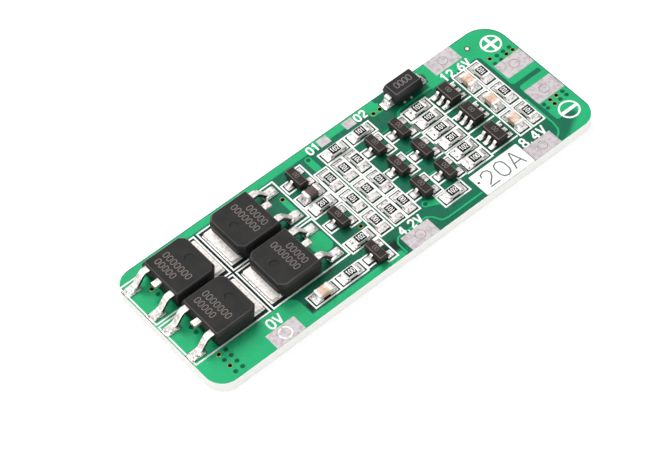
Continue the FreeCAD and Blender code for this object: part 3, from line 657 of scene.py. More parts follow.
@dataclass(frozen=True)
class Well:
    """A round ejector mark in the top of a moulding: a rounded wall down to a flat floor."""

    x: float
    y: float
    radius: float
    depth: float

    def rings(self, rim: np.ndarray, top: float) -> list[np.ndarray]:
        """Leads the top's outline in to the well and down it.

        Args:
            rim: the top's outline, points around by two.
            top: its height.

        Returns:
            Rings at shares of the radius, each with its share of the depth.
        """
        away = rim - (self.x, self.y)
        away /= np.linalg.norm(away, axis=1, keepdims=True)
        made = []
        for share, drop in ((1.0, 0.0), (0.94, 0.35), (0.86, 0.9), (0.5, 1.0)):
            ring = away * self.radius * share + (self.x, self.y)
            made.append(np.column_stack([ring, np.full(len(rim), top - drop * self.depth)]))
        return made


def stacked(
    outline: Callable[[float], np.ndarray],
    levels: Sequence[tuple[float, float]],
    finish: Finish,
    well: Well | None = None,
) -> Patch:
    """Stacks one outline at several heights, drawn in by an inset at each.

    Args:
        outline: gives points around by two for an inset.
        levels: (height, inset), lowest first.
        finish: the finish.
        well: a round well in the top, if there is one.

    Returns:
        The surface.
    """
    rings = []
    for height, inset in levels:
        ring = outline(inset)
        rings.append(np.column_stack([ring, np.full(len(ring), height)]))
    if well:
        rings += well.rings(rings[-1][:, :2], levels[-1][0])
    return tube(np.array(rings), finish)


def soft_block(
    size: tuple[float, float, float],
    corner: float,
    edge: float,
    finish: Finish,
    steps: int = 2,
) -> Patch:
    """A block on z 0 with round corners and soft upper and lower edges.

    Args:
        size: length, width and height.
        corner: the corners' radius, seen from above.
        edge: the radius of its upper and lower edges.
        finish: the finish.
        steps: how many chords a corner has.

    Returns:
        The block.
    """
    length, width, height = size

    def outline(inset: float) -> np.ndarray:
        """Draws the block's outline in by an inset."""
        radius = max(corner - inset, 0.2 * corner)
        return rounded_rectangle(length / 2 - inset, width / 2 - inset, radius, steps)

    rise = [(0.0, 1.0), (0.3, 0.3), (1.0, 0.0)]
    levels = [(part * edge, inset * edge) for part, inset in rise]
    levels += [(height - part * edge, inset * edge) for part, inset in reversed(rise)]
    return stacked(outline, levels, finish)


def bent_line(corners: Sequence[tuple[float, float]], bend: float, steps: int = 5) -> np.ndarray:
    """Rounds a line's corners with parabolas that touch its runs one bend before and after.

    Args:
        corners: the line's points.
        bend: the distance from a corner at which its curve starts.
        steps: how many chords a corner has.

    Returns:
        Points by two.
    """
    points = np.array(corners, float)
    runs = np.diff(points, axis=0)
    runs /= np.linalg.norm(runs, axis=1, keepdims=True)
    starts = points[1:-1] - runs[:-1] * bend
    ends = points[1:-1] + runs[1:] * bend
    t = np.linspace(0, 1, steps + 1)[None, :, None]
    curve = (1 - t) ** 2 * starts[:, None] + 2 * t * (1 - t) * points[1:-1, None] + t**2 * ends[:, None]
    return np.concatenate([points[:1], curve.reshape(-1, 2), points[-1:]])


def strip(
    path: np.ndarray,
    widths: np.ndarray | float,
    thickness: float,
    finish: Finish,
    edge: float,
) -> Patch:
    """Carries a soft-edged rectangular section along a line in the X-Z plane.

    The section stands square to the line, its width runs along Y.

    Args:
        path: the middle line, points by two.
        widths: the width at each point, or everywhere.
        thickness: the sheet's thickness.
        finish: the finish of its upper face; the sides are sheared, and their darker finish is partly painted
            shade.
        edge: how far the section's corners are cut.

    Returns:
        The strip.
    """
    heading = np.gradient(path, axis=0)
    heading /= np.linalg.norm(heading, axis=1, keepdims=True)
    normal = np.column_stack([-heading[:, 1], heading[:, 0]])
    half_y = np.broadcast_to(np.asarray(widths, float) / 2, (len(path),))[:, None]
    half_n = thickness / 2
    across = np.array([1, 1, 1, -1, -1, -1, -1, 1])
    cut_y = np.array([0, 0, 1, 1, 0, 0, 1, 1]) * edge
    lift = np.array([-1, 1, 1, 1, 1, -1, -1, -1])
    cut_n = np.array([1, 1, 0, 0, 1, 1, 0, 0]) * edge
    y = across * (half_y - cut_y)
    rise = (lift * (half_n - cut_n))[None, :]
    x = path[:, :1] + normal[:, :1] * rise
    z = path[:, 1:] + normal[:, 1:] * rise
    made = tube(np.stack([x, y, z], axis=-1), finish)
    quads = made.faces[0][0]
    rolled = np.isin(np.arange(len(quads)) % len(across), (1, 2, 3))
    made.faces[0] = (quads[rolled], finish)
    # The sides and underside take the sheared finish, darker partly as painted shade
    made.faces.append((quads[~rolled], Finish.LEAD_SIDE))
    return made


def ribbon(
    line: np.ndarray, width: float, floor: float, top: float, finish: Finish, closed: bool = False
) -> Patch:
    """Lays a flat band along a line, mitred at its corners.

    Args:
        line: the middle line, points by two.
        width: the band's width.
        floor: the height of its underside.
        top: the height of its upper face.
        finish: the finish.
        closed: whether the line runs back to its start.

    Returns:
        The band.
    """
    ahead = np.roll(line, -1, axis=0) - line
    ahead /= np.maximum(np.linalg.norm(ahead, axis=1, keepdims=True), 1e-9)
    behind = np.roll(ahead, 1, axis=0)
    if not closed:
        behind[0] = ahead[0]
        ahead[-1] = behind[-1]
    left = np.column_stack([-ahead[:, 1], ahead[:, 0]])
    left_behind = np.column_stack([-behind[:, 1], behind[:, 0]])
    mitre = (left + left_behind) / (1 + np.sum(left * left_behind, axis=1, keepdims=True))
    side = mitre * width / 2
    low, high = np.full((len(line), 1), floor), np.full((len(line), 1), top)
    rings = [
        np.hstack([line + side, low]),
        np.hstack([line - side, low]),
        np.hstack([line - side, high]),
        np.hstack([line + side, high]),
    ]
    return tube(np.stack(rings, axis=1), finish, looped=closed)


def spun(profile: Sequence[tuple[float, float]], around: int, finish: Finish) -> Patch:
    """Turns a closed profile of (radius, height) about the Z axis.

    Args:
        profile: the profile's points.
        around: how many steps a turn has.
        finish: the finish.

    Returns:
        The turned surface.
    """
    outline = np.array(profile, float)
    angle = np.arange(around) * 2 * math.pi / around
    x = outline[:, :1] * np.cos(angle)
    y = outline[:, :1] * np.sin(angle)
    z = np.broadcast_to(outline[:, 1:], x.shape)
    return tube(np.stack([x, y, z], axis=-1), finish, looped=True)


@dataclass
class Piece:
    """One object of the scene, built from patches."""

    name: str
    patches: list[Patch]
    slot: str
    stands_for: tuple[str, ...] = ()
    sharp_degrees: float = 35.0

    def mesh(self, finishes: Sequence[Finish]) -> bpy.types.Mesh:
        """Joins the patches into one mesh.

        Args:
            finishes: the finishes, in the order of the mesh's materials.

        Returns:
            The mesh, smooth but for its sharp edges.
        """
        starts = np.cumsum([0] + [len(patch.points) for patch in self.patches])
        corners, totals, slots = [], [], []
        for start, patch in zip(starts, self.patches):
            for group, finish in patch.faces:
                corners.append((group + start).ravel())
                totals.append(np.full(len(group), group.shape[1]))
                slots.append(np.full(len(group), finishes.index(finish)))
        corners, totals, slots = np.concatenate(corners), np.concatenate(totals), np.concatenate(slots)
        loop_starts = np.concatenate([[0], np.cumsum(totals)[:-1]])
        mesh = bpy.data.meshes.new(self.name)
        mesh.vertices.add(int(starts[-1]))
        points = np.concatenate([patch.points for patch in self.patches]) * METRE
        mesh.vertices.foreach_set("co", points.astype(np.float32).ravel())
        mesh.loops.add(len(corners))
        mesh.loops.foreach_set("vertex_index", corners.astype(np.int32))
        mesh.polygons.add(len(totals))
        mesh.polygons.foreach_set("loop_start", loop_starts.astype(np.int32))
        mesh.polygons.foreach_set("material_index", slots.astype(np.int32))
        mesh.update(calc_edges=True)
        mesh.shade_smooth()
        mesh.set_sharp_from_angle(angle=math.radians(self.sharp_degrees))
        fields = [patch.field_values for patch in self.patches]
        if fields[0] is not None:
            attribute = mesh.attributes.new(COPPER_FIELD, "FLOAT", "POINT")
            attribute.data.foreach_set("value", np.concatenate(fields).astype(np.float32))
        return mesh

    def build(self, materials: Mapping[Finish, bpy.types.Material]) -> bpy.types.Object:
        """Makes the object, dresses it and lets it ride on the board's body.

        Args:
            materials: the material of each finish.

        Returns:
            The object.
        """
        finishes = list(dict.fromkeys(finish for patch in self.patches for _, finish in patch.faces))
        mesh = self.mesh(finishes)
        for finish in finishes:
            mesh.materials.append(materials[finish])
        item = bpy.data.objects.new(self.name, mesh)
        bpy.context.scene.collection.objects.link(item)
        if self.stands_for:
            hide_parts(*self.stands_for)
        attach(item, BODY)
        LOG.info("%s: %d faces", self.name, len(mesh.polygons))
        return item


@dataclass(frozen=True)
class Spot:
    """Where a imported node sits: its middle, its sizes and its heights, in millimetres."""

    node: str

    @property
    def low(self) -> np.ndarray:
        """The lowest corner."""
        return np.array(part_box(self.node)[0]) / METRE

    @property
    def high(self) -> np.ndarray:
        """The highest corner."""
        return np.array(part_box(self.node)[1]) / METRE

    @property
    def middle(self) -> np.ndarray:
        """The middle of its box."""
        return (self.low + self.high) / 2

    @property
    def turn(self) -> float:
        """0 if it is longer along the board than across it, and 90 if not."""
        size = self.high - self.low
        return 0.0 if size[0] > size[1] else 90.0


def nodes_named(*starts: str) -> list[str]:
    """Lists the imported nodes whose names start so, apart from their leads."""
    return [n for n in sorted(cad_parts) if n.startswith(starts) and not n.endswith("_leads")]


CHIPS = ("resistor_", "supply_capacitor_", "gate_capacitor", "output_capacitor")
SMALL_TRANSISTORS = ("gate_transistor", "driver_transistor", "shifter_transistor")
MONITORS = "cell_monitor"
POWER_TRANSISTORS = "mosfet_"
# Power packages left of this stand at the board's end, with their leads toward it
END_ROW = -18.0


@dataclass(frozen=True)
class Pour:
    """A rectangle of copper with round corners."""

    left: float
    right: float
    near: float
    far: float
    radius: float = 0.3

    def distance(self, x: np.ndarray, y: np.ndarray) -> np.ndarray:
        """Gives the distance to its edge.

        The point is folded into one quadrant about the middle, and what lies beyond the corner's
        centre is measured to it.

        Args:
            x: places along the board.
            y: places across it.

        Returns:
            The distances, negative inside.
        """
        qx = np.abs(x - (self.left + self.right) / 2) - (self.right - self.left) / 2 + self.radius
        qy = np.abs(y - (self.near + self.far) / 2) - (self.far - self.near) / 2 + self.radius
        outside = np.hypot(np.maximum(qx, 0), np.maximum(qy, 0))
        return outside + np.minimum(np.maximum(qx, qy), 0) - self.radius


@dataclass(frozen=True)
class Track:
    """A round-ended copper track along a line."""

    line: Points
    width: float

    def distance(self, x: np.ndarray, y: np.ndarray) -> np.ndarray:
        """Gives the distance to its edge: to the nearest run, less half the width.

        Args:
            x: places along the board.
            y: places across it.

        Returns:
            The distances, negative inside.
        """
        best = np.full(x.shape, np.inf)
        for (x0, y0), (x1, y1) in zip(self.line, self.line[1:]):
            dx, dy = x1 - x0, y1 - y0
            share = np.clip(((x - x0) * dx + (y - y0) * dy) / (dx * dx + dy * dy), 0, 1)
            best = np.minimum(best, np.hypot(x - x0 - share * dx, y - y0 - share * dy))
        return best - self.width / 2


@dataclass(frozen=True)
class CopperLayer:
    """Which parts of a face have copper under the mask.

    It ends inside the limit, and the faded areas come up slowly out of the dark. In the clear areas the mask
    is darkened off the copper: painted shade.
    """

    areas: tuple[Pour | Track, ...]
    gaps: tuple[Pour | Track, ...] = ()
    clear: tuple[Pour | Track, ...] = ()
    faded: tuple[Pour | Track, ...] = ()
    limit: Pour | None = None
    fading: float = 0.1
    held: float = 0.5

    def distance(self, x: np.ndarray, y: np.ndarray) -> np.ndarray:
        """Gives the distance to the copper's edge, held within half a millimetre.

        In and near the clear areas, off this layer's copper, up to 1 is added, which the mask shows as
        painted shade.

        Args:
            x: places along the board.
            y: places across it.

        Returns:
            The distances, negative in copper.
        """

        def nearest(shapes: Sequence[Pour | Track]) -> np.ndarray:
            """Gives the distance to the nearest edge among the shapes."""
            return np.min([shape.distance(x, y) for shape in shapes], axis=0)

        copper = nearest(self.areas)
        for gap in self.gaps:
            copper = np.maximum(copper, -gap.distance(x, y))
        if self.faded:
            copper = np.minimum(copper, self.fading * nearest(self.faded))
        if self.limit:
            copper = np.maximum(copper, self.limit.distance(x, y))
        copper = np.clip(copper, -self.held, self.held)
        # Painted shade: in the clear areas the mask is pushed toward its almost black colour
        if self.clear:
            copper += np.clip(0.5 - nearest(self.clear) / 0.8, 0, 1) * np.clip(copper / 0.15, 0, 1)
        return copper


@dataclass(frozen=True)
class Via:
    """A plated hole between the two faces, at a place on the board."""

    x: float
    y: float
    bore: float = 0.43
    land: float = 0.68
    rim: float = 0.52
    proud: float = 0.03
    around: int = 20

    def barrel(self, thickness: float) -> Patch:
        """Turns the hole's copper lining with its land on both faces.

        The profile runs up the bore, over the rounded land, down the outside and back.

        Args:
            thickness: the board's thickness.

        Returns:
            The lining.
        """
        inner, outer, hidden = self.bore / 2, self.land / 2, self.rim / 2 + 0.03
        top = thickness + self.proud
        profile = [
            (inner + 0.04, 0.0),
            (inner, 0.05),
            (inner, top - 0.05),
            (inner + 0.04, top),
            (outer - 0.03, top),
            (outer, top - 0.05),
            (hidden, top - 0.07),
            (hidden, 0.06),
            (outer, 0.03),
            (outer - 0.03, 0.0),
        ]
        barrel = spun(profile, self.around, Finish.VIA_RIM)
        quads = barrel.faces[0][0]
        bore = 3 * self.around
        barrel.faces = [(quads[:bore], Finish.PLATED_BORE), (quads[bore:], Finish.VIA_RIM)]
        return barrel.placed(self.x, self.y).masked()


@dataclass(frozen=True)
class TentedVia:
    """A filled hole that the mask covers: a dimple above, and a flat plug just over the floor."""

    x: float
    y: float
    radius: float = 0.31
    hollow: float = 0.29
    around: int = 14

    def ends(self, top: float) -> list[Patch]:
        """Turns both of its ends.

        Args:
            top: the height of the board's upper face.

        Returns:
            The dimple and the plug.
        """
        low, rim, middle = top - 0.02, top + 0.004, top + 0.002
        dimple = [(AXIS, low), (self.radius, low), (self.hollow, rim), (AXIS, middle)]
        plug = [(AXIS, 0.01), (0.26, 0.01), (0.28, 0.04), (AXIS, 0.04)]
        turned = [spun(profile, self.around, Finish.TENTED_VIA) for profile in (dimple, plug)]
        return [end.placed(self.x, self.y).masked() for end in turned]


@dataclass
class Laminate:
    """The board itself: two masked faces over copper, a milled edge and open plated holes."""

    corner: float = 2.5
    plus_corner: float = 3.4
    pitch: float = 0.17
    relief: float = 0.028
    soft: float = 0.05
    underside: float = 0.014
    vias: tuple[Via, ...] = (
        Via(-26.1, 6.02),
        Via(-6.95, 5.72),
        Via(-2.7, -3.35),
        Via(-26.0, -6.1),
        Via(-26.0, -8.1),
        Via(10.25, 8.24),
        Via(9.25, 8.24),
        Via(28.125, 4.295),
        Via(27.125, 4.295),
        Via(25.125, 5.095),
        Via(27.125, -4.455),
        Via(26.125, -4.455),
        Via(26.125, -5.255),
    )
    tented_vias: tuple[TentedVia, ...] = tuple(
        TentedVia(x, y)
        for x, y in (
            (-26.0, 5.0), (-26.0, -1.1), (-26.0, -2.0), (-25.0, -6.1), (-26.0, -7.1), (-25.0, -7.1),
            (-25.0, -8.1), (-26.0, -9.1), (-25.0, -9.1), (26.1, 4.9), (27.1, 4.9), (28.1, 4.9),
            (25.1, 4.1), (26.1, 4.1), (25.1, -4.5), (28.1, -4.5), (25.1, -5.2), (27.1, -5.2),
            (28.1, -5.2), (-1.0, 8.15), (4.9, -6.0),
        )
    )
    upper: CopperLayer = CopperLayer(
        areas=(
            Pour(-31.0, -25.4, -31.0, 31.0, 0.2),
            Pour(-31.0, -14.7, -31.0, -5.6, 1.2),
            Pour(-16.0, -1.4, -31.0, -9.0, 0.3),
            Pour(-31.0, 10.4, 8.85, 31.0, 0.3),
            Pour(-9.0, -6.5, -3.5, -0.2, 0.9),
            Pour(-1.45, -0.55, 6.0, 8.6, 0.45),
            Pour(16.9, 31.0, 5.0, 31.0, 0.1),
            Pour(24.4, 31.0, 0.22, 31.0, 0.45),
            Pour(24.72, 31.0, -7.3, -0.45, 0.45),
            Pour(28.5, 31.0, -7.3, 31.0, 0.3),
            Pour(17.0, 24.0, -31.0, -9.9, 0.05),
            Pour(-17.3, -9.0, 9.0, 9.9, 0.2),
            Track(((-6.95, 5.72), (-6.95, 3.4)), 0.75),
            Track(((4.9, -6.0), (6.6, -6.9), (7.2, -6.9)), 0.9),
            Pour(8.75, 10.75, 7.8, 9.3, 0.42),
        ),
        gaps=(
            Pour(16.0, 24.4, -9.85, 6.3, 0.6),
            Pour(23.7, 28.5, -0.45, 0.22, 0.3),
            Pour(16.2, 17.6, 8.0, 9.0, 0.3),
        ),
        faded=(
            Track(((20.0, -15.7), (32.0, -8.85)), 6.0),
            Pour(27.2, 34.0, -31.0, -7.0, 0.5),
        ),
        limit=Pour(-40.0, 28.87, -40.0, 9.87, 3.27),
        # Painted shade: areas between and beside the power packages where the mask is painted almost black
        clear=(
            Pour(-20.2, -15.2, -8.6, 8.6, 0.6),
            Pour(-15.2, -9.0, 0.6, 2.6, 0.4),
            Pour(-15.2, -0.9, -8.9, -7.4, 0.4),
        ),
    )
    lower: CopperLayer = CopperLayer(
        areas=(
            Pour(-28.4, -6.0, -9.4, 9.4, 0.8),
            Pour(-5.4, 23.2, 1.2, 9.4, 0.8),
            Pour(-5.4, 23.2, -9.4, 0.6, 0.8),
            Pour(23.8, 28.4, -9.4, 9.4, 0.8),
        ),
    )
    tracks: tuple[Track, ...] = (
        Track(
            ((-1.2, -9.85), (-1.15, -8.1), (-0.6, -7.45), (3.7, -7.45), (4.35, -8.0), (4.8, -9.0),
             (5.6, -9.2), (10.9, -9.2)),
            0.22,
        ),
        Track(((22.7, -9.1), (23.25, -8.95), (23.8, -8.35), (24.0, -7.3), (24.05, -2.4)), 0.24),
        Track(((17.0, 6.6), (12.1, 6.6), (11.4, 6.4), (11.2, 5.8)), 0.24),
        Track(((10.95, 5.7), (11.6, 6.4)), 0.22),
        Track(((-2.6, -9.6), (-2.2, -8.4)), 0.25),
        Track(((-16.9, 9.35), (-9.3, 9.35)), 0.12),
        Track(((8.0, 5.25), (9.1, 5.25)), 0.11),
        Track(((8.15, 1.1), (9.3, 1.1)), 0.11),
        Track(((4.4, -3.4), (5.6, -3.4)), 0.11),
        Track(((7.95, -3.1), (9.15, -3.1)), 0.11),
    )

    def plan(self, half_x: float, half_y: float) -> tuple[np.ndarray, np.ndarray]:
        """Spreads the grid over the outline.

        In a corner, (u, v) from its square maps onto the quarter disc as
        (u sqrt(1 - v^2 / 2), v sqrt(1 - u^2 / 2)).

        Args:
            half_x: half the board's length.
            half_y: half its width.

        Returns:
            The grid's x and y.
        """
        x, y = np.meshgrid(
            np.linspace(-half_x, half_x, round(2 * half_x / self.pitch) + 1),
            np.linspace(-half_y, half_y, round(2 * half_y / self.pitch) + 1),
        )
        corner = np.where((x > 0) & (y > 0), self.plus_corner, self.corner)
        u = (np.abs(x) - half_x + corner) / corner
        v = (np.abs(y) - half_y + corner) / corner
        in_corner = (u > 0) & (v > 0)
        u, v = np.where(in_corner, u, 0), np.where(in_corner, v, 0)
        round_x = np.sign(x) * (half_x - corner + corner * u * np.sqrt(1 - v**2 / 2))
        round_y = np.sign(y) * (half_y - corner + corner * v * np.sqrt(1 - u**2 / 2))
        return np.where(in_corner, round_x, x), np.where(in_corner, round_y, y)

    def drill(self, x: np.ndarray, y: np.ndarray) -> np.ndarray:
        """Takes nine cells out of the grid at each via and draws what is left there to its rim.

        Args:
            x: the grid's x, changed in place.
            y: the grid's y, changed in place.

        Returns:
            Which cells are left.
        """
        kept = np.ones((x.shape[0] - 1, x.shape[1] - 1), bool)
        for via in self.vias:
            middle_x = (x[:-1, :-1] + x[1:, 1:]) / 2
            middle_y = (y[:-1, :-1] + y[1:, 1:]) / 2
            nearest = np.argmin(np.hypot(middle_x - via.x, middle_y - via.y))
            row, column = np.unravel_index(nearest, kept.shape)
            kept[row - 1 : row + 2, column - 1 : column + 2] = False
            ring = slice(row - 1, row + 3), slice(column - 1, column + 3)
            away_x, away_y = x[ring] - via.x, y[ring] - via.y
            away = np.maximum(np.hypot(away_x, away_y), 1e-6)
            x[ring] = via.x + away_x / away * via.rim / 2
            y[ring] = via.y + away_y / away * via.rim / 2
        return kept

    def sheet(self, half_x: float, half_y: float, top: float) -> Patch:
        """Makes the board, whose mask sinks by the relief where no copper lies under it.

        Across the copper's edge it sinks along the smooth step 3 t^2 - 2 t^3.

        Args:
            half_x: half the board's length.
            half_y: half its width.
            top: its thickness.

        Returns:
            The board, with its distances to the copper's edge.
        """
        x, y = self.plan(half_x, half_y)
        kept = self.drill(x, y)
        distances = [layer.distance(x, y) for layer in (self.upper, self.lower)]
        steps = [np.clip((distance + self.soft) / (2 * self.soft), 0, 1) for distance in distances]
        above, below = [self.relief * (step * step * (3 - 2 * step)) for step in steps]
        upper = np.stack([x, y, top - above], axis=-1)
        lower = np.stack([x, y, self.underside + below], axis=-1)
        board = slab(upper, lower, Finish.SOLDER_MASK, Finish.LAMINATE_EDGE, kept)
        used = np.zeros(x.shape, bool)
        for rows in (slice(None, -1), slice(1, None)):
            for columns in (slice(None, -1), slice(1, None)):
                used[rows, columns] |= kept
        board.field_values = np.concatenate([distance[used] for distance in distances])
        return board

    def bands(self, top: float) -> list[Patch]:
        """Raises every single track, a hair lower or higher than the last, because they may cross.

        Args:
            top: the height of the board's upper face.

        Returns:
            One band for each track.
        """
        made = []
        for index, track in enumerate(self.tracks):
            line = bent_line(track.line, 0.2, 4) if len(track.line) > 2 else np.array(track.line)
            band = ribbon(line, track.width, top - 0.05, top - 0.001 * (index % 3), Finish.SOLDER_MASK)
            made.append(band.masked(-self.upper.held))
        return made

    def build(self) -> Piece:
        """Builds the board from its packed box.

        Returns:
            The board with its tracks and holes.
        """
        half_x, half_y, top = Spot("board").high
        patches = [self.sheet(half_x, half_y, top), *self.bands(top)]
        patches += [via.barrel(top) for via in self.vias]
        patches += [end for via in self.tented_vias for end in via.ends(top)]
        return Piece("laminate", patches, "glass_epoxy", ("board",))


# Each character's strokes on a field 0.6 wide and 1 high; a stroke that ends where it starts is closed
GLYPHS: dict[str, tuple[Points, ...]] = {
    "0": (
        ((0.3, 0.0), (0.5, 0.1), (0.57, 0.3), (0.57, 0.7), (0.5, 0.9), (0.3, 1.0), (0.1, 0.9), (0.03, 0.7),
         (0.03, 0.3), (0.1, 0.1), (0.3, 0.0)),
    ),
    "1": (((0.1, 0.78), (0.34, 1.0), (0.34, 0.0)),),
    "2": (
        ((0.04, 0.74), (0.1, 0.92), (0.3, 1.0), (0.5, 0.92), (0.56, 0.72), (0.46, 0.5), (0.1, 0.14)),
        ((0.03, 0.03), (0.58, 0.03)),
    ),
    "4": (((0.45, 0.0), (0.45, 1.0)), ((0.43, 0.98), (0.04, 0.36)), ((0.0, 0.3), (0.62, 0.3))),
    "6": (
        ((0.5, 0.96), (0.26, 0.82), (0.08, 0.52), (0.05, 0.25), (0.14, 0.06), (0.32, 0.0), (0.5, 0.08),
         (0.56, 0.28), (0.48, 0.5), (0.3, 0.56), (0.1, 0.42)),
    ),
    "8": (
        ((0.3, 0.0), (0.52, 0.08), (0.56, 0.27), (0.46, 0.46), (0.3, 0.52), (0.14, 0.46), (0.04, 0.27),
         (0.08, 0.08), (0.3, 0.0)),
        ((0.3, 0.54), (0.46, 0.6), (0.52, 0.78), (0.44, 0.95), (0.3, 1.0), (0.16, 0.95), (0.08, 0.78),
         (0.14, 0.6), (0.3, 0.54)),
    ),
    "V": (((0.0, 1.0), (0.29, 0.02)), ((0.31, 0.02), (0.6, 1.0))),
    "A": (((0.0, 0.0), (0.29, 1.0)), ((0.31, 1.0), (0.6, 0.0)), ((0.12, 0.32), (0.48, 0.32))),
    ".": (((0.0, 0.06), (0.12, 0.06)),),
}
GLYPH_WIDTH = 0.6
ODD_WIDTHS = {"1": 0.62, ".": 0.3}


@dataclass(frozen=True)
class Lettering:
    """A plain number written in strokes of one width."""

    text: str
    height: float
    stroke: float
    gap: float = 0.22
    wide: float = 1.0

    def advance(self, character: str) -> float:
        """Gives how far the pen moves on after a character."""
        return (ODD_WIDTHS.get(character, GLYPH_WIDTH) * self.wide + self.gap) * self.height

    def width(self) -> float:
        """Gives its length along the line."""
        return sum(self.advance(character) for character in self.text) - self.gap * self.height

    def patches(
        self, x: float, y: float, floor: float, top: float, finish: Finish, turn: float = 0.0
    ) -> list[Patch]:
        """Writes it, centred on a point.

        Args:
            x: the middle along the board.
            y: the middle across it.
            floor: the height of the strokes' underside.
            top: the height of their upper face, a hair lower for each stroke of a character.
            finish: the ink.
            turn: degrees about Z.

        Returns:
            One band for each stroke.
        """
        made = []
        pen = -self.width() / 2
        for character in self.text:
            for index, stroke in enumerate(GLYPHS[character]):
                line = np.array(stroke) * (self.height * self.wide, self.height) + (pen, -self.height / 2)
                closed = stroke[0] == stroke[-1]
                if closed:
                    line = line[:-1]
                band = ribbon(line, self.stroke, floor, top - 0.0015 * index, finish, closed)
                made.append(band.placed(x, y, 0.0, turn))
            pen += self.advance(character)
        return made


@dataclass
class Silkscreen:
    """White ink on the mask: frames round the parts, plain numbers, signs and one filled field."""

    line: float = 0.2
    floor: float = 1.56
    top: float = 1.622
    drift: float = -0.05
    chip_frame: tuple[float, float] = (1.92, 0.905)
    power_frame: tuple[float, float, float] = (4.4, 6.9, 3.4)
    leftmost: float = -28.76
    toe_bracket: Points = ((-0.75, 0.68), (-1.86, 0.68), (-1.86, -0.86), (-0.75, -0.86))
    body_bracket: Points = ((0.4, 1.4), (0.4, 1.63), (1.8, 1.63), (1.8, -1.77), (0.4, -1.77), (0.4, -1.5))
    monitor_lines: tuple[Points, ...] = (
        ((-2.05, 1.27), (-1.05, 1.27)),
        ((1.2, 1.3), (2.0, 1.3)),
        ((-2.05, -1.72), (2.0, -1.72)),
    )
    labels: tuple[tuple[str, float, float, float], ...] = (
        ("0V", -18.55, -6.9, 1.35),
        ("4.2V", 1.6, -7.1, 1.2),
        ("8.4V", 20.8, -7.15, 1.35),
        ("12.6V", 20.9, 6.6, 1.2),
        ("01", 0.45, 9.05, 1.1),
        ("02", 7.85, 9.05, 1.1),
    )
    plus: tuple[float, float] = (26.85, 6.8)
    minus: tuple[float, float] = (26.8, -7.05)
    sign_radius: float = 1.24
    sign_line: float = 0.24
    sign_bar: float = 0.44
    pin_dots: Points = ((13.2, 7.05), (14.25, 7.05))
    dot_radius: float = 0.09
    dot_line: float = 0.14
    count: int = 0

    def band(self, points: np.ndarray | Points, closed: bool = False, width: float | None = None) -> Patch:
        """Prints one line, a hair lower or higher than the last, because lines cross.

        Args:
            points: the line's points.
            closed: whether it runs back to its start.
            width: its width, if it isn't the usual one.

        Returns:
            The printed line.
        """
        self.count += 1
        top = self.top - 0.002 * (self.count % 4)
        return ribbon(np.array(points, float), width or self.line, self.floor, top, Finish.PRINT, closed)

    def rectangle(self, left: float, right: float, near: float, far: float) -> Patch:
        """Prints a closed rectangle."""
        return self.band(((left, near), (right, near), (right, far), (left, far)), True)

    def ring(self, x: float, y: float, radius: float, width: float) -> Patch:
        """Prints a circle."""
        angle = np.linspace(0, 2 * math.pi, 41)[:-1, None]
        return self.band(np.hstack([x + radius * np.cos(angle), y + radius * np.sin(angle)]), True, width)

    def beside(self, node: str, line: Points) -> Patch:
        """Prints a line that is given from a part's middle."""
        return self.band(np.array(line) + Spot(node).middle[:2])

    def chips(self) -> list[Patch]:
        """Frames every resistor and capacitor, a little off its middle, as print drifts.

        Returns:
            One frame for each.
        """
        made = []
        for node in nodes_named(*CHIPS):
            spot = Spot(node)
            along, across = self.chip_frame[::-1] if spot.turn else self.chip_frame
            x, y = spot.middle[:2]
            y += self.drift
            made.append(self.rectangle(x - along, x + along, y - across, y + across))
        return made

    def power(self) -> list[Patch]:
        """Frames the power packages; at the board's end the frame stops short of the edge.

        Returns:
            One frame for each.
        """
        made = []
        behind, ahead, half = self.power_frame
        for node in nodes_named(POWER_TRANSISTORS):
            x, y = Spot(node).middle[:2]
            facing = -1 if x < END_ROW else 1
            tab, foot = x - facing * behind, max(x + facing * ahead, self.leftmost)
            made.append(self.rectangle(min(tab, foot), max(tab, foot), y - half, y + half))
        return made

    def small(self) -> list[Patch]:
        """Prints the brackets of the small transistors and the lines of the monitors.

        Returns:
            The lines.
        """
        made = []
        for node in nodes_named(*SMALL_TRANSISTORS):
            made += [self.beside(node, line) for line in (self.toe_bracket, self.body_bracket)]
        for node in nodes_named(MONITORS):
            made += [self.beside(node, line) for line in self.monitor_lines]
        return made

    def numbers(self) -> list[Patch]:
        """Prints the voltages beside the wire pads and plain numbers beside the test pads.

        Returns:
            The strokes.
        """
        made = []
        for text, x, y, height in self.labels:
            made += Lettering(text, height, 0.24, 0.2).patches(x, y, self.floor, self.top, Finish.PRINT)
        return made

    def signs(self) -> list[Patch]:
        """Prints the plus and minus in their circles and two pin dots.

        Returns:
            The lines.
        """
        made = []
        arm = self.sign_radius - 0.04
        for x, y in (self.plus, self.minus):
            made.append(self.ring(x, y, self.sign_radius, self.sign_line))
            made.append(self.band(((x - arm, y), (x + arm, y)), width=self.sign_bar))
            if (x, y) == self.plus:
                made.append(self.band(((x, y - arm), (x, y + arm)), width=self.sign_bar))
        made += [self.ring(x, y, self.dot_radius, self.dot_line) for x, y in self.pin_dots]
        return made

    def rating(self) -> list[Patch]:
        """Prints the filled field with its number left open in thin lines.

        Returns:
            The field, a dot and the number's strokes.
        """
        outline = rounded_rectangle(3.75, 1.7, 0.15)
        filled = stacked(lambda _: outline, [(self.floor, 0.0), (self.top - 0.006, 0.0)], Finish.PRINT)
        round_dot = [(AXIS, self.floor), (0.17, self.floor), (0.17, self.top), (AXIS, self.top)]
        dot = spun(round_dot, 14, Finish.PRINT_GAP)
        number = Lettering("20A", 2.35, 0.16, 0.2, 1.12)
        strokes = number.patches(14.95, -8.22, self.floor, self.top, Finish.PRINT_GAP)
        return [filled.placed(14.85, -8.26), dot.placed(11.5, -7.95), *strokes]

    def build(self) -> Piece:
        """Gathers all the ink."""
        patches = self.chips() + self.power() + self.small() + self.numbers() + self.signs() + self.rating()
        return Piece("silkscreen", patches, "glass_epoxy")


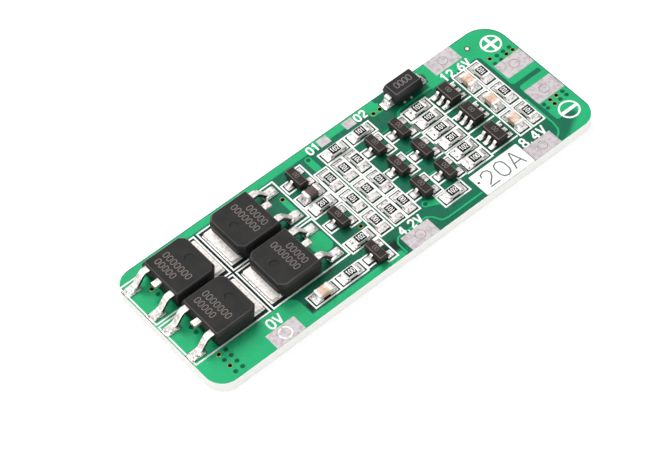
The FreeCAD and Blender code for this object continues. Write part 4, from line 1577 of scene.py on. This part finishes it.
@dataclass(frozen=True)
class Joint:
    """A pad with the terminal that stands on it, about the part's middle before its turn."""

    pad: Edges
    metal: Edges
    height: float
    reach: float
    margin: float = 0.12

    def mirrored(self) -> "Joint":
        """Gives the same joint at the part's other end.

        Returns:
            The joint with left and right changed over.
        """
        flipped = [(-right, -left, near, far) for left, right, near, far in (self.pad, self.metal)]
        return Joint(*flipped, self.height, self.reach, self.margin)

    def pad_patches(self, floor: float, top: float) -> list[Patch]:
        """Makes the tinned pad and the bare ring round it, near black partly as painted shade.

        Args:
            floor: the height of the pad's underside.
            top: the height of its upper face.

        Returns:
            The pad and the ring.
        """
        left, right, near, far = self.pad
        length, width, wider = right - left, far - near, 2 * self.margin
        plate = soft_block((length, width, top - floor), 0.08, 0.015, Finish.PART_PAD)
        ring = soft_block((length + wider, width + wider, 0.034), 0.12, 0.004, Finish.MASK_GAP)
        return [patch.placed((left + right) / 2, (near + far) / 2, floor) for patch in (plate, ring)]

    def solder_patch(self, floor: float, chance: np.random.Generator) -> Patch:
        """Makes the solder that climbs from the pad to the terminal.

        At a distance d from the terminal's outline its height is h (1 - d / r)^p, and p, h and a
        slight swelling differ from joint to joint.

        Args:
            floor: the height of the pad's upper face.
            chance: the source of the differences.

        Returns:
            The solder.
        """
        left, right, near, far = self.pad
        inset, skin, rim = 0.05, 0.035, 0.012
        along = np.linspace(left + inset, right - inset, 10)
        x, y = np.meshgrid(along, np.linspace(near + inset, far - inset, 7))
        metal_left, metal_right, metal_near, metal_far = self.metal
        away_x = np.maximum(np.maximum(metal_left - x, x - metal_right), 0)
        away_y = np.maximum(np.maximum(metal_near - y, y - metal_far), 0)
        away = np.hypot(away_x, away_y) / self.reach
        power = chance.uniform(1.1, 1.9)
        height = self.height * chance.uniform(0.85, 1.1) * np.clip(1 - away, 0, 1) ** power
        waves = np.sin(chance.uniform(3, 7) * x + chance.uniform(0, 6)) * np.cos(chance.uniform(3, 7) * y)
        inside = np.zeros(x.shape, bool)
        inside[1:-1, 1:-1] = True
        rise = np.where(inside, skin + height + 0.045 * waves * (0.3 + height), rim + 0.55 * height)
        top = np.stack([x, y, floor + rise], axis=-1)
        bottom = np.stack([x, y, np.full_like(x, floor - 0.02)], axis=-1)
        return slab(top, bottom, Finish.SOLDER)


@dataclass
class Assembly:
    """A part on the board: its node, and the heights of its pads."""

    node: str
    seat: float = 1.65
    pad_floor: float = 1.57

    @property
    def turn(self) -> float:
        """Its turn about Z, in degrees."""
        return Spot(self.node).turn

    def settle(self, patches: list[Patch], height: float | None = None) -> list[Patch]:
        """Puts patches made about the part's own middle on the board.

        Args:
            patches: the patches.
            height: how high they go, if it isn't on the pads.

        Returns:
            The patches in place.
        """
        x, y = Spot(self.node).middle[:2]
        height = self.seat if height is None else height
        return [patch.placed(x, y, height, self.turn) for patch in patches]

    def joints(self) -> list[Joint]:
        """Lists the part's soldered joints."""
        raise NotImplementedError

    def build(self) -> list[Piece]:
        """Builds the part's pieces."""
        raise NotImplementedError

    def pads(self) -> list[Patch]:
        """Makes the pads of all its joints."""
        made = [joint.pad_patches(self.pad_floor, self.seat) for joint in self.joints()]
        return self.settle([patch for pair in made for patch in pair], 0)

    def solder(self, chance: np.random.Generator) -> list[Patch]:
        """Makes the solder of all its joints."""
        return self.settle([joint.solder_patch(self.seat, chance) for joint in self.joints()], 0)


@dataclass
class Chip(Assembly):
    """A ceramic chip between two plated ends."""

    length: float = 2.0
    width: float = 1.25
    height: float = 0.52
    end: float = 0.36
    end_corner: float = 0.05
    end_edge: float = 0.06
    end_steps: int = 2
    pad_width: float = 1.4
    pad_under: float = 0.48
    pad_past: float = 0.62
    climb: float = 0.38
    reach: float = 0.52

    def joints(self) -> list[Joint]:
        """Gives the two ends' joints.

        Returns:
            The right one and its mirror image.
        """
        half, half_width, half_pad = self.length / 2, self.width / 2, self.pad_width / 2
        pad = (half - self.pad_under, half + self.pad_past, -half_pad, half_pad)
        face = (half - 0.3, half - 0.03, -half_width, half_width)
        right = Joint(pad, face, self.climb, self.reach)
        return [right, right.mirrored()]

    def ends(self) -> list[Patch]:
        """Wraps both ends in metal.

        Returns:
            The right end and the left one.
        """
        size = (self.end, self.width, self.height)
        cap = soft_block(size, self.end_corner, self.end_edge, Finish.CHIP_END, self.end_steps)
        return [cap.placed(side * (self.length - self.end) / 2, 0) for side in (1, -1)]


@dataclass
class ChipResistor(Chip):
    """A thick-film resistor: alumina, wrapped ends, black glass and a printed value."""

    code: str = "102"

    def build(self) -> list[Piece]:
        """Builds the resistor.

        Returns:
            One piece.
        """
        ceramic = soft_block((self.length - 0.06, self.width, self.height - 0.06), 0.03, 0.02, Finish.ALUMINA)
        between = self.length - 2 * self.end + 0.02
        coat = soft_block((between, self.width - 0.1, 0.06), 0.06, 0.02, Finish.OVERCOAT)
        digits = Lettering(self.code, 0.64, 0.1, 0.14, 0.72)
        patches = [
            ceramic.placed(0, 0, 0.03),
            *self.ends(),
            coat.placed(0, 0, self.height - 0.07),
            *digits.patches(0, 0, self.height - 0.03, self.height - 0.003, Finish.CODE_INK),
        ]
        return [Piece(self.node + "_chip", self.settle(patches), "chip_resistor", (self.node,))]


@dataclass
class ChipCapacitor(Chip):
    """A layered ceramic capacitor with dipped metal ends."""

    height: float = 0.85
    end: float = 0.42
    end_corner: float = 0.1
    end_edge: float = 0.1
    end_steps: int = 3
    climb: float = 0.72
    reach: float = 0.58
    ceramic: Finish = Finish.TAN_CERAMIC
    record_slot: str = "tan_chip_capacitor"

    def build(self) -> list[Piece]:
        """Builds the capacitor.

        Returns:
            One piece.
        """
        size = (self.length - 0.1, self.width - 0.06, self.height - 0.06)
        core = soft_block(size, 0.1, 0.08, self.ceramic, 3)
        patches = [core.placed(0, 0, 0.03), *self.ends()]
        return [Piece(self.node + "_chip", self.settle(patches), self.record_slot, (self.node,))]


@dataclass(frozen=True)
class Mould:
    """The heights and drafts of a moulded body, with its epoxy and the lighter finish of its top edge, a
    painted highlight.
    """

    floor: float
    parting: float
    top: float
    draft: float
    edge: float
    epoxy: Finish
    # The lighter finish of the top edge: a painted highlight
    line: Finish
    well: Well | None = None

    def cast(self, outline: Callable[[float], np.ndarray]) -> Patch:
        """Moulds an outline.

        Args:
            outline: gives points around by two for an inset.

        Returns:
            The body, whose narrow upper edge has a lighter finish of its own, a painted highlight.
        """
        levels = [
            (self.floor, self.draft * 0.7),
            (self.parting - 0.02, 0.0),
            (self.parting + 0.02, 0.0),
            (self.top - self.edge, self.draft),
            (self.top, self.draft + self.edge),
        ]
        body = stacked(outline, levels, self.epoxy, self.well)
        around = len(outline(0.0))
        quads = body.faces[0][0]
        # The ring of the top edge gets the lighter finish: a painted highlight
        edge_row = slice(3 * around, 4 * around)
        body.faces[0] = (np.delete(quads, edge_row, axis=0), self.epoxy)
        body.faces.append((quads[edge_row], self.line))
        return body


# How far a moulding's top lies under its node's, which leaves room for the marks on it, in millimetres
SKIN = 0.004


def part_marks(
    rows: Sequence[tuple[str, float, float]], height: float, stroke: float, top: float
) -> list[Patch]:
    """Frosts rows of plain zeros into a body's top, reading across it.

    Args:
        rows: each row's digits with its x and its shift in y.
        height: the digits' height.
        stroke: the stroke's width.
        top: the height of the body's top.

    Returns:
        The strokes, a few micrometres deep.
    """
    made = []
    for text, x, y in rows:
        digits = Lettering(text, height, stroke, 0.2)
        made += digits.patches(x, y, top - 0.02, top - 0.0005, Finish.LASER_GREY, 90)
    return made


@dataclass
class GullPackage(Assembly):
    """A small moulded package on bent leads, along its own X: pins are (side, offset)."""

    width: float = 1.3
    length: float = 2.9
    height: float = 1.1
    standoff: float = 0.08
    span: float = 2.45
    pins: tuple[tuple[int, float], ...] = ((-1, 0.0), (1, 0.95), (1, -0.95))
    pad_width: float = 0.95
    pad_length: float = 0.95
    lead_width: float = 0.42
    parting_share: float = 0.5
    metal: float = 0.14
    foot: float = 0.32
    toe: float = 0.36
    climb: float = 0.1
    reach: float = 0.28

    @property
    def turn(self) -> float:
        """The small packages all stand across the board."""
        return 0.0

    def joints(self) -> list[Joint]:
        """Gives each pin's joint.

        Returns:
            The joints, in the order of the pins.
        """
        tip = self.span / 2
        end = tip + self.toe
        half_pad, half_lead = self.pad_width / 2, self.lead_width / 2
        made = []
        for side, offset in self.pins:
            pad = (end - self.pad_length, end, offset - half_pad, offset + half_pad)
            foot = (tip - self.foot, tip - 0.03, offset - half_lead, offset + half_lead)
            joint = Joint(pad, foot, self.climb, self.reach)
            made.append(joint if side > 0 else joint.mirrored())
        return made

    def leads(self) -> list[Patch]:
        """Bends every lead.

        Returns:
            One strip for each pin.
        """
        half_metal = self.metal / 2
        root, tip, parting = self.width / 2, self.span / 2, self.height * self.parting_share
        corners = [(root - 0.2, parting), (root + 0.08, parting), (tip - 0.15, half_metal), (tip, half_metal)]
        lead = strip(bent_line(corners, 0.1, 4), self.lead_width, self.metal, Finish.LEAD, 0.03)
        by_side = {1: lead, -1: lead.placed(0, 0, 0, 180)}
        return self.settle([by_side[side].placed(0, offset) for side, offset in self.pins])

    def body(self) -> list[Patch]:
        """Moulds the body.

        Returns:
            The body and its marks.
        """

        def outline(inset: float) -> np.ndarray:
            """Draws the body's outline in by an inset."""
            return rounded_rectangle(self.width / 2 - inset, self.length / 2 - inset, 0.06, 2)

        parting, top = self.height * self.parting_share, self.height - SKIN
        mould = Mould(self.standoff, parting, top, 0.09, 0.06, Finish.SMALL_MOULDING, Finish.SMALL_EDGE_HIGHLIGHT)
        marks = part_marks([("00", 0.05, 0.1)], 0.55, 0.07, self.height)
        return self.settle([mould.cast(outline), *marks])

    def build(self) -> list[Piece]:
        """Builds the body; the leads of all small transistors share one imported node."""
        return [Piece(self.node + "_moulding", self.body(), "small_moulding", (self.node,))]


@dataclass
class Monitor(GullPackage):
    """A cell monitor with three leads on each side."""

    width: float = 1.6
    height: float = 1.2
    span: float = 2.85
    pins: tuple[tuple[int, float], ...] = tuple((side, row * 0.95) for side in (-1, 1) for row in (1, 0, -1))
    pad_width: float = 0.6

    def build(self) -> list[Piece]:
        """Builds the body and the leads."""
        leads = Piece(self.node + "_gull_leads", self.leads(), "tinned_leads", (self.node + "_leads",))
        return [*super().build(), leads]


@dataclass
class PowerPackage(Assembly):
    """A power transistor: heat tab, two bent leads, a cut one, and a moulding with cut corners."""

    length: float = 6.1
    width: float = 6.6
    top: float = 2.3
    standoff: float = 0.05
    corner_cut: float = 0.8
    metal: float = 0.5
    tab_length: float = 4.6
    tab_width: float = 5.35
    tab_x: float = -1.75
    exit_height: float = 1.7
    foot_height: float = 0.25
    lead_y: float = 2.285
    lead_width: float = 0.84
    root_width: float = 0.94
    pad_width: float = 1.3
    pad_ends: tuple[float, float] = (4.5, 6.5)
    foot_ends: tuple[float, float] = (4.9, 6.1)
    tab_pad: Edges = (-4.17, 0.55, -2.795, 2.795)
    tab_rim: Edges = (-4.03, 0.5, -2.67, 2.67)
    well: Well = Well(-1.35, 0.0, 0.56, 0.13)

    @property
    def turn(self) -> float:
        """Packages at the board's end have their leads toward it."""
        return 180.0 if Spot(self.node).middle[0] < END_ROW else 0.0

    def joints(self) -> list[Joint]:
        """Gives the joints of both leads and of the tab's outer rim.

        Returns:
            The far lead's joint, the near one's and the tab's.
        """
        half_lead, half_pad = self.lead_width / 2, self.pad_width / 2
        made = []
        for y in (self.lead_y, -self.lead_y):
            pad = (*self.pad_ends, y - half_pad, y + half_pad)
            foot = (*self.foot_ends, y - half_lead, y + half_lead)
            made.append(Joint(pad, foot, 0.46, 0.42, 0.08))
        return [*made, Joint(self.tab_pad, self.tab_rim, 0.12, 0.12)]

    def outline(self, inset: float) -> np.ndarray:
        """Draws the body's outline in by an inset, with its two corners at the tab cut.

        Every corner is cut again by a hair, and three points divide each side.

        Args:
            inset: how far in it lies.

        Returns:
            Points around by two.
        """
        x, y = self.length / 2 - inset, self.width / 2 - inset
        cut = self.corner_cut - inset * (2 - math.sqrt(2))
        soft = 0.1
        turns = [(-x + cut, -y), (x, -y), (x, y), (-x + cut, y), (-x, y - cut), (-x, -y + cut)]
        points = []
        for i, corner in enumerate(turns):
            here = np.array(corner)
            before, after = np.array(turns[i - 1]) - here, np.array(turns[(i + 1) % len(turns)]) - here
            points.append(here + before / np.linalg.norm(before) * soft)
            points.append(here + after / np.linalg.norm(after) * soft)
            points += [here + after * share for share in (0.25, 0.5, 0.75)]
        return np.array(points)

    def lead_frame(self) -> list[Patch]:
        """Makes the tab, both leads, and the middle lead's stub with its bare cut end.

        Returns:
            The metal, in place.
        """
        end, high, low = self.length / 2, self.exit_height, self.foot_height
        tab = soft_block((self.tab_length, self.tab_width, self.metal), 0.25, 0.05, Finish.TAB, 3)
        corners = [(end - 0.4, high), (end + 0.7, high), (end + 1.85, low), (end + 3.1, low)]
        path = bent_line(corners, 0.42, 6)
        widths = np.interp(path[:, 0], [end + 0.1, end + 0.7], [self.root_width, self.lead_width])
        lead = strip(path, widths, self.metal, Finish.LEAD, 0.07)
        stub = soft_block((1.3, self.lead_width, self.metal), 0.04, 0.05, Finish.LEAD)
        cut_face = (0.03, self.lead_width - 0.06, self.metal - 0.08)
        sheared = soft_block(cut_face, 0.01, 0.01, Finish.CUT_COPPER)
        return self.settle([
            tab.placed(self.tab_x, 0),
            lead.placed(0, self.lead_y),
            lead.placed(0, -self.lead_y),
            stub.placed(end + 0.25, 0, high - self.metal / 2),
            sheared.placed(end + 0.9, 0, high - self.metal / 2 + 0.04),
        ])

    def build(self) -> list[Piece]:
        """Builds the lead frame and the moulding.

        Returns:
            One piece for each.
        """
        finishes = Finish.POWER_MOULDING, Finish.POWER_EDGE_HIGHLIGHT
        mould = Mould(self.standoff, self.exit_height, self.top - SKIN, 0.2, 0.12, *finishes, self.well)
        marks = part_marks([("0000000", 0.35, 0.0), ("00000", 1.6, -0.6)], 0.85, 0.1, self.top)
        shell = self.settle([mould.cast(self.outline), *marks])
        return [
            Piece(self.node + "_lead_frame", self.lead_frame(), "tinned_leads", (self.node + "_leads",)),
            Piece(self.node + "_moulding", shell, "power_moulding", (self.node,)),
        ]


@dataclass
class Rectifier(Assembly):
    """A moulded rectifier with a strip folded under each end."""

    length: float = 4.3
    width: float = 2.6
    top: float = 2.15
    standoff: float = 0.25
    parting: float = 1.15
    strip_width: float = 0.9
    pad_width: float = 1.3
    metal: float = 0.2

    def joints(self) -> list[Joint]:
        """Gives both ends' joints.

        Returns:
            The right one and its mirror image.
        """
        half_pad, half_strip = self.pad_width / 2, self.strip_width / 2
        right = Joint((1.2, 3.3, -half_pad, half_pad), (1.5, 2.58, -half_strip, half_strip), 0.75, 0.62)
        return [right, right.mirrored()]

    def outline(self, inset: float) -> np.ndarray:
        """Draws the body's outline in by an inset."""
        return rounded_rectangle(self.length / 2 - inset, self.width / 2 - inset, 0.1, 2)

    def build(self) -> list[Piece]:
        """Builds the strips and the moulding.

        Returns:
            One piece for each.
        """
        end, foot = self.length / 2, self.metal / 2
        drop = end + 0.35
        corners = [(end - 0.3, self.parting), (drop, self.parting), (drop, foot), (drop - 1.1, foot)]
        lead = strip(bent_line(corners, 0.2, 4), self.strip_width, self.metal, Finish.LEAD, 0.03)
        finishes = Finish.RECTIFIER_MOULDING, Finish.RECTIFIER_EDGE_HIGHLIGHT
        mould = Mould(self.standoff, self.parting, self.top - SKIN, 0.22, 0.1, *finishes)
        digits = Lettering("0000", 0.88, 0.11, 0.12)
        marks = digits.patches(0, 0, self.top - 0.02, self.top, Finish.LASER_GREY, 180)
        strips = self.settle([lead, lead.placed(0, 0, 0, 180)])
        block = self.settle([mould.cast(self.outline), *marks])
        return [
            Piece("rectifier_strips", strips, "tinned_leads", ("rectifier_leads",)),
            Piece("rectifier_block", block, "rectifier_moulding", ("rectifier",)),
        ]


@dataclass(frozen=True)
class WirePad:
    """A bare tinned pad, levelled with hot air."""

    x: float
    y: float
    length: float = 4.15
    depth: float = 2.25
    wired: bool = True

    def plate(self, floor: float, seat: float) -> Patch:
        """Makes the pad, with the trace of a filled hole in its middle if it takes a wire.

        At a distance r from the middle the trace is a low ring round a dimple:
        0.02 exp(-((r - 0.62) / 0.12)^2) - 0.015 exp(-(r / 0.4)^2).

        Args:
            floor: the height of its underside.
            seat: the height under which it lies.

        Returns:
            The pad.
        """
        u, v = np.meshgrid(np.linspace(-1, 1, 35), np.linspace(-1, 1, 23))
        rim = np.maximum(np.abs(u), np.abs(v)) > 0.999
        away_x, away_y = u * self.length / 2, v * self.depth / 2
        r = np.hypot(away_x, away_y)
        trace = 0.02 * np.exp(-(((r - 0.62) / 0.12) ** 2)) - 0.015 * np.exp(-((r / 0.4) ** 2))
        z = np.where(rim, seat - 0.03, seat - 0.021 + trace * self.wired)
        grid = np.stack([self.x + away_x, self.y + away_y, z], axis=-1)
        flat = np.stack([self.x + away_x, self.y + away_y, np.full_like(z, floor)], axis=-1)
        return slab(grid, flat, Finish.TINNED_PAD)

    def underside(self) -> Patch:
        """Makes its twin on the lower face."""
        twin = soft_block((self.length, self.depth, 0.05), 0.06, 0.01, Finish.TINNED_PAD)
        return twin.placed(self.x, self.y, 0.001)

    def turned(self, profile: Sequence[tuple[float, float]], finish: Finish) -> Patch:
        """Turns a profile about its middle."""
        return spun(profile, 32, finish).placed(self.x, self.y)


@dataclass
class WirePads:
    """The bare tinned pads for wires and test probes, one filled hole and the placement mark."""

    floor: float = 1.57
    seat: float = 1.65
    filled: WirePad = WirePad(-18.55, -8.875)
    wired: tuple[WirePad, ...] = (
        WirePad(1.60, -8.875),
        WirePad(20.755, -8.875),
        WirePad(20.755, 8.75, depth=2.5),
        WirePad(26.775, 2.57, depth=2.65),
        WirePad(26.775, -2.73, depth=2.65),
    )
    tests: tuple[WirePad, ...] = (
        WirePad(2.15, 9.075, 1.5, 1.2, False),
        WirePad(6.12, 9.075, 1.5, 1.2, False),
    )
    fiducial: tuple[float, float] = (24.2, 8.15)

    def filled_hole(self) -> list[Patch]:
        """Makes the raised ring and the solder inside it on the filled pad.

        Returns:
            The ring and the plug.
        """
        seat, low, high = self.seat, self.seat - 0.05, self.seat + 0.03
        ring = [(0.6, low), (0.9, low), (0.88, seat), (0.82, high), (0.74, high - 0.005), (0.6, seat - 0.02)]
        plug = [(AXIS, low), (0.68, low), (0.68, seat - 0.004), (0.3, seat - 0.012), (AXIS, seat - 0.008)]
        return [self.filled.turned(ring, Finish.LEAD), self.filled.turned(plug, Finish.TINNED_PAD)]

    def placement_mark(self) -> list[Patch]:
        """Makes the round mark that placing machines look for, in its opening of the mask.

        Returns:
            The mark and the ring of laminate round it.
        """
        floor = self.floor
        dot = [(AXIS, floor), (0.22, floor), (0.22, 1.625), (0.16, 1.635), (AXIS, 1.635)]
        ring = [(0.2, floor), (0.42, floor), (0.4, 1.612), (0.22, 1.612)]
        turned = [spun(dot, 20, Finish.CHIP_END), spun(ring, 24, Finish.FIDUCIAL_RING)]
        return [patch.placed(*self.fiducial) for patch in turned]

    def build(self) -> Piece:
        """Builds the pads, their holes and the placement mark.

        Returns:
            All of them as one piece.
        """
        trace = [(0.56, 1.6), (0.7, 1.6), (0.68, self.seat - 0.003), (0.58, self.seat - 0.003)]
        patches = [pad.plate(self.floor, self.seat) for pad in (self.filled, *self.wired, *self.tests)]
        patches += self.filled_hole()
        patches += [pad.underside() for pad in (self.filled, *self.wired)]
        patches += [pad.turned(trace, Finish.HOLE_TRACE) for pad in self.wired]
        patches += self.placement_mark()
        return Piece("tinned_wire_pads", patches, "tinned_copper", ("wire_pads",))


@dataclass(frozen=True)
class Lamp:
    """A square soft lamp that faces the board: where it hangs and its size in metres, its power in watts.

    The glare is what glossy faces mirror of it, the fill what it gives to matt ones.
    """

    name: str
    place: tuple[float, float, float]
    size: float
    power: float
    glare: bool = True
    fill: bool = True

    def build(self) -> None:
        """Hangs the lamp."""
        data = bpy.data.lights.new(self.name, "AREA")
        data.energy = self.power
        data.size = self.size
        item = bpy.data.objects.new(self.name, data)
        item.visible_glossy = self.glare
        item.visible_diffuse = self.fill
        bpy.context.scene.collection.objects.link(item)
        item.location = self.place
        item.rotation_euler = (-Vector(self.place)).to_track_quat("-Z", "Y").to_euler()


@dataclass
class Studio:
    """The camera at the photograph's angle, soft lamps and a white floor."""

    place: tuple[float, float, float] = (-108.26, -142.58, 239.47)
    forward: tuple[float, float, float] = (0.34665, 0.48098, -0.80529)
    up: tuple[float, float, float] = (0.54572, 0.59484, 0.59021)
    lens: float = 141.944
    horizon: float = 0.12
    zenith: float = 1.42
    dimmed: float = 0.23
    window: tuple[float, float, float] = (-0.85, 0.45, 0.27)
    floor_half: float = 1.5
    floor_drop: float = 2e-5
    lamps: tuple[Lamp, ...] = (
        Lamp("left_softbox", (-0.26, 0.28, 0.58), 0.4, 1.8),
        Lamp("back_softbox", (0.14, 0.46, 0.46), 0.3, 4.2, glare=False),
        Lamp("side_strip", (-0.8, 0.05, 0.09), 0.3, 1.15),
        Lamp("near_card", (-0.42, -0.62, 0.2), 0.5, 1.6, fill=False),
        Lamp("edge_strip", (0.05, -0.8, 0.1), 0.3, 2.1),
    )

    def camera(self) -> None:
        """Makes the camera and gives it to the scene."""
        data = bpy.data.cameras.new("camera")
        data.lens = self.lens
        data.sensor_width = 36
        data.clip_start = 0.01
        data.clip_end = 20
        item = bpy.data.objects.new("camera", data)
        bpy.context.scene.collection.objects.link(item)
        forward, up = Vector(self.forward).normalized(), Vector(self.up).normalized()
        right = forward.cross(up).normalized()
        up = right.cross(forward)
        turn = Matrix((right, up, -forward)).transposed()
        item.matrix_world = Matrix.Translation(Vector(self.place) * METRE) @ turn.to_4x4()
        bpy.context.scene.camera = item

    def backdrop(self) -> None:
        """Lights the room and makes what the camera sees beyond the floor white.

        Glossy faces mirror a bright ceiling and a window, and matt ones get a share of the ceiling.
        """
        world = bpy.data.worlds.new("room")
        bpy.context.scene.world = world
        world.use_nodes = True
        world.node_tree.nodes.clear()
        graph = NodeGraph(world.node_tree)
        heading = graph.add("ShaderNodeTexCoord").outputs["Generated"]
        ray = graph.add("ShaderNodeLightPath").outputs
        upward = graph.add("ShaderNodeSeparateXYZ", {0: heading}).outputs["Z"]
        rise = {"Value": upward, "From Min": 0.05, "From Max": 0.5}
        rise |= {"To Min": self.horizon, "To Max": self.zenith}
        sky = graph.add("ShaderNodeMapRange", rise).outputs[0]
        directions = {0: heading, 1: self.window}
        toward = graph.add("ShaderNodeVectorMath", directions, {"operation": "DOT_PRODUCT"}).outputs["Value"]
        glass = {"Value": toward, "From Min": 0.3, "From Max": 0.75, "To Max": 0.95}
        pane = graph.add("ShaderNodeMapRange", glass).outputs[0]
        product = {"operation": "MULTIPLY"}
        window = graph.add("ShaderNodeMath", {0: pane, 1: ray["Is Glossy Ray"]}, product).outputs[0]
        room = graph.add("ShaderNodeMath", {0: sky, 1: window}, {"operation": "MAXIMUM"}).outputs[0]
        matt = {"Value": ray["Is Diffuse Ray"], "To Min": 1.0, "To Max": self.dimmed}
        share = graph.add("ShaderNodeMapRange", matt).outputs[0]
        shaded = graph.add("ShaderNodeMath", {0: room, 1: share}, product).outputs[0]
        seen = graph.add("ShaderNodeMix", {"Factor": ray["Is Camera Ray"], 2: shaded, 3: 1.0}).outputs[0]
        light = graph.add("ShaderNodeBackground", {"Strength": seen}).outputs[0]
        graph.add("ShaderNodeOutputWorld", {"Surface": light})

    def floor(self) -> None:
        """Lays the floor, which keeps only a faint shadow."""
        material = bpy.data.materials.new("white_paper_sweep")
        material.use_nodes = True
        material.node_tree.nodes.clear()
        graph = NodeGraph(material.node_tree)
        glow = graph.add("ShaderNodeEmission", {"Color": (1, 1, 1, 1), "Strength": 0.8}).outputs[0]
        paper = graph.add("ShaderNodeBsdfDiffuse", {"Color": (0.32, 0.32, 0.32, 1)}).outputs[0]
        both = graph.add("ShaderNodeAddShader", {0: glow, 1: paper}).outputs[0]
        graph.add("ShaderNodeOutputMaterial", {"Surface": both})
        half, depth = self.floor_half, -self.floor_drop
        corners = [(-half, -half, depth), (half, -half, depth), (half, half, depth), (-half, half, depth)]
        mesh = bpy.data.meshes.new("floor")
        mesh.from_pydata(corners, [], [(0, 1, 2, 3)])
        mesh.materials.append(material)
        item = bpy.data.objects.new("floor", mesh)
        bpy.context.scene.collection.objects.link(item)

    def build(self) -> None:
        """Sets up the whole studio."""
        self.camera()
        for lamp in self.lamps:
            lamp.build()
        self.backdrop()
        self.floor()
        bpy.context.scene.view_settings.view_transform = "Standard"


@dataclass
class BatteryBoard:
    """The whole object."""

    seed: int = 7
    codes: tuple[str, ...] = ("102", "101", "201", "102", "100", "102")
    parts: list[Assembly] = field(default_factory=list)

    def place_parts(self) -> None:
        """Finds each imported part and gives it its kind."""
        for index, node in enumerate(nodes_named("resistor_")):
            self.parts.append(ChipResistor(node, code=self.codes[index % len(self.codes)]))
        self.parts += [ChipCapacitor(node) for node in nodes_named("supply_capacitor_", "output_capacitor")]
        dark = ChipCapacitor("gate_capacitor", ceramic=Finish.DARK_CERAMIC, record_slot="dark_chip_capacitor")
        self.parts.append(dark)
        self.parts += [GullPackage(node) for node in nodes_named(*SMALL_TRANSISTORS)]
        self.parts += [Monitor(node) for node in nodes_named(MONITORS)]
        self.parts += [PowerPackage(node) for node in nodes_named(POWER_TRANSISTORS)]
        self.parts.append(Rectifier("rectifier"))

    def pieces(self) -> list[Piece]:
        """Lists every piece of the object.

        Returns:
            The board, its print and wire pads, the parts, and what the parts share.
        """
        self.place_parts()
        chance = np.random.default_rng(self.seed)
        made = [Laminate().build(), Silkscreen().build(), WirePads().build()]
        pads, solder, leads = [], [], []
        for part in self.parts:
            made += part.build()
            pads += part.pads()
            solder += part.solder(chance)
            if type(part) is GullPackage:
                leads += part.leads()
        made.append(Piece("tinned_part_pads", pads, "tinned_copper", ("component_pads",)))
        made.append(Piece("solder_fillets", solder, "solder", ("solder_joints",), 60.0))
        made.append(Piece("small_gull_leads", leads, "tinned_leads", ("transistor_leads",)))
        return made


def main() -> None:
    """Builds the board and its studio, and logs each piece's count of faces."""
    logging.basicConfig(level=logging.INFO)
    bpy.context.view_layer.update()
    materials = {finish: surface.build(finish.value) for finish, surface in FINISHES.items()}
    for piece in BatteryBoard().pieces():
        piece.build(materials)
    Studio().build()


if __name__ == "__main__":
    main()
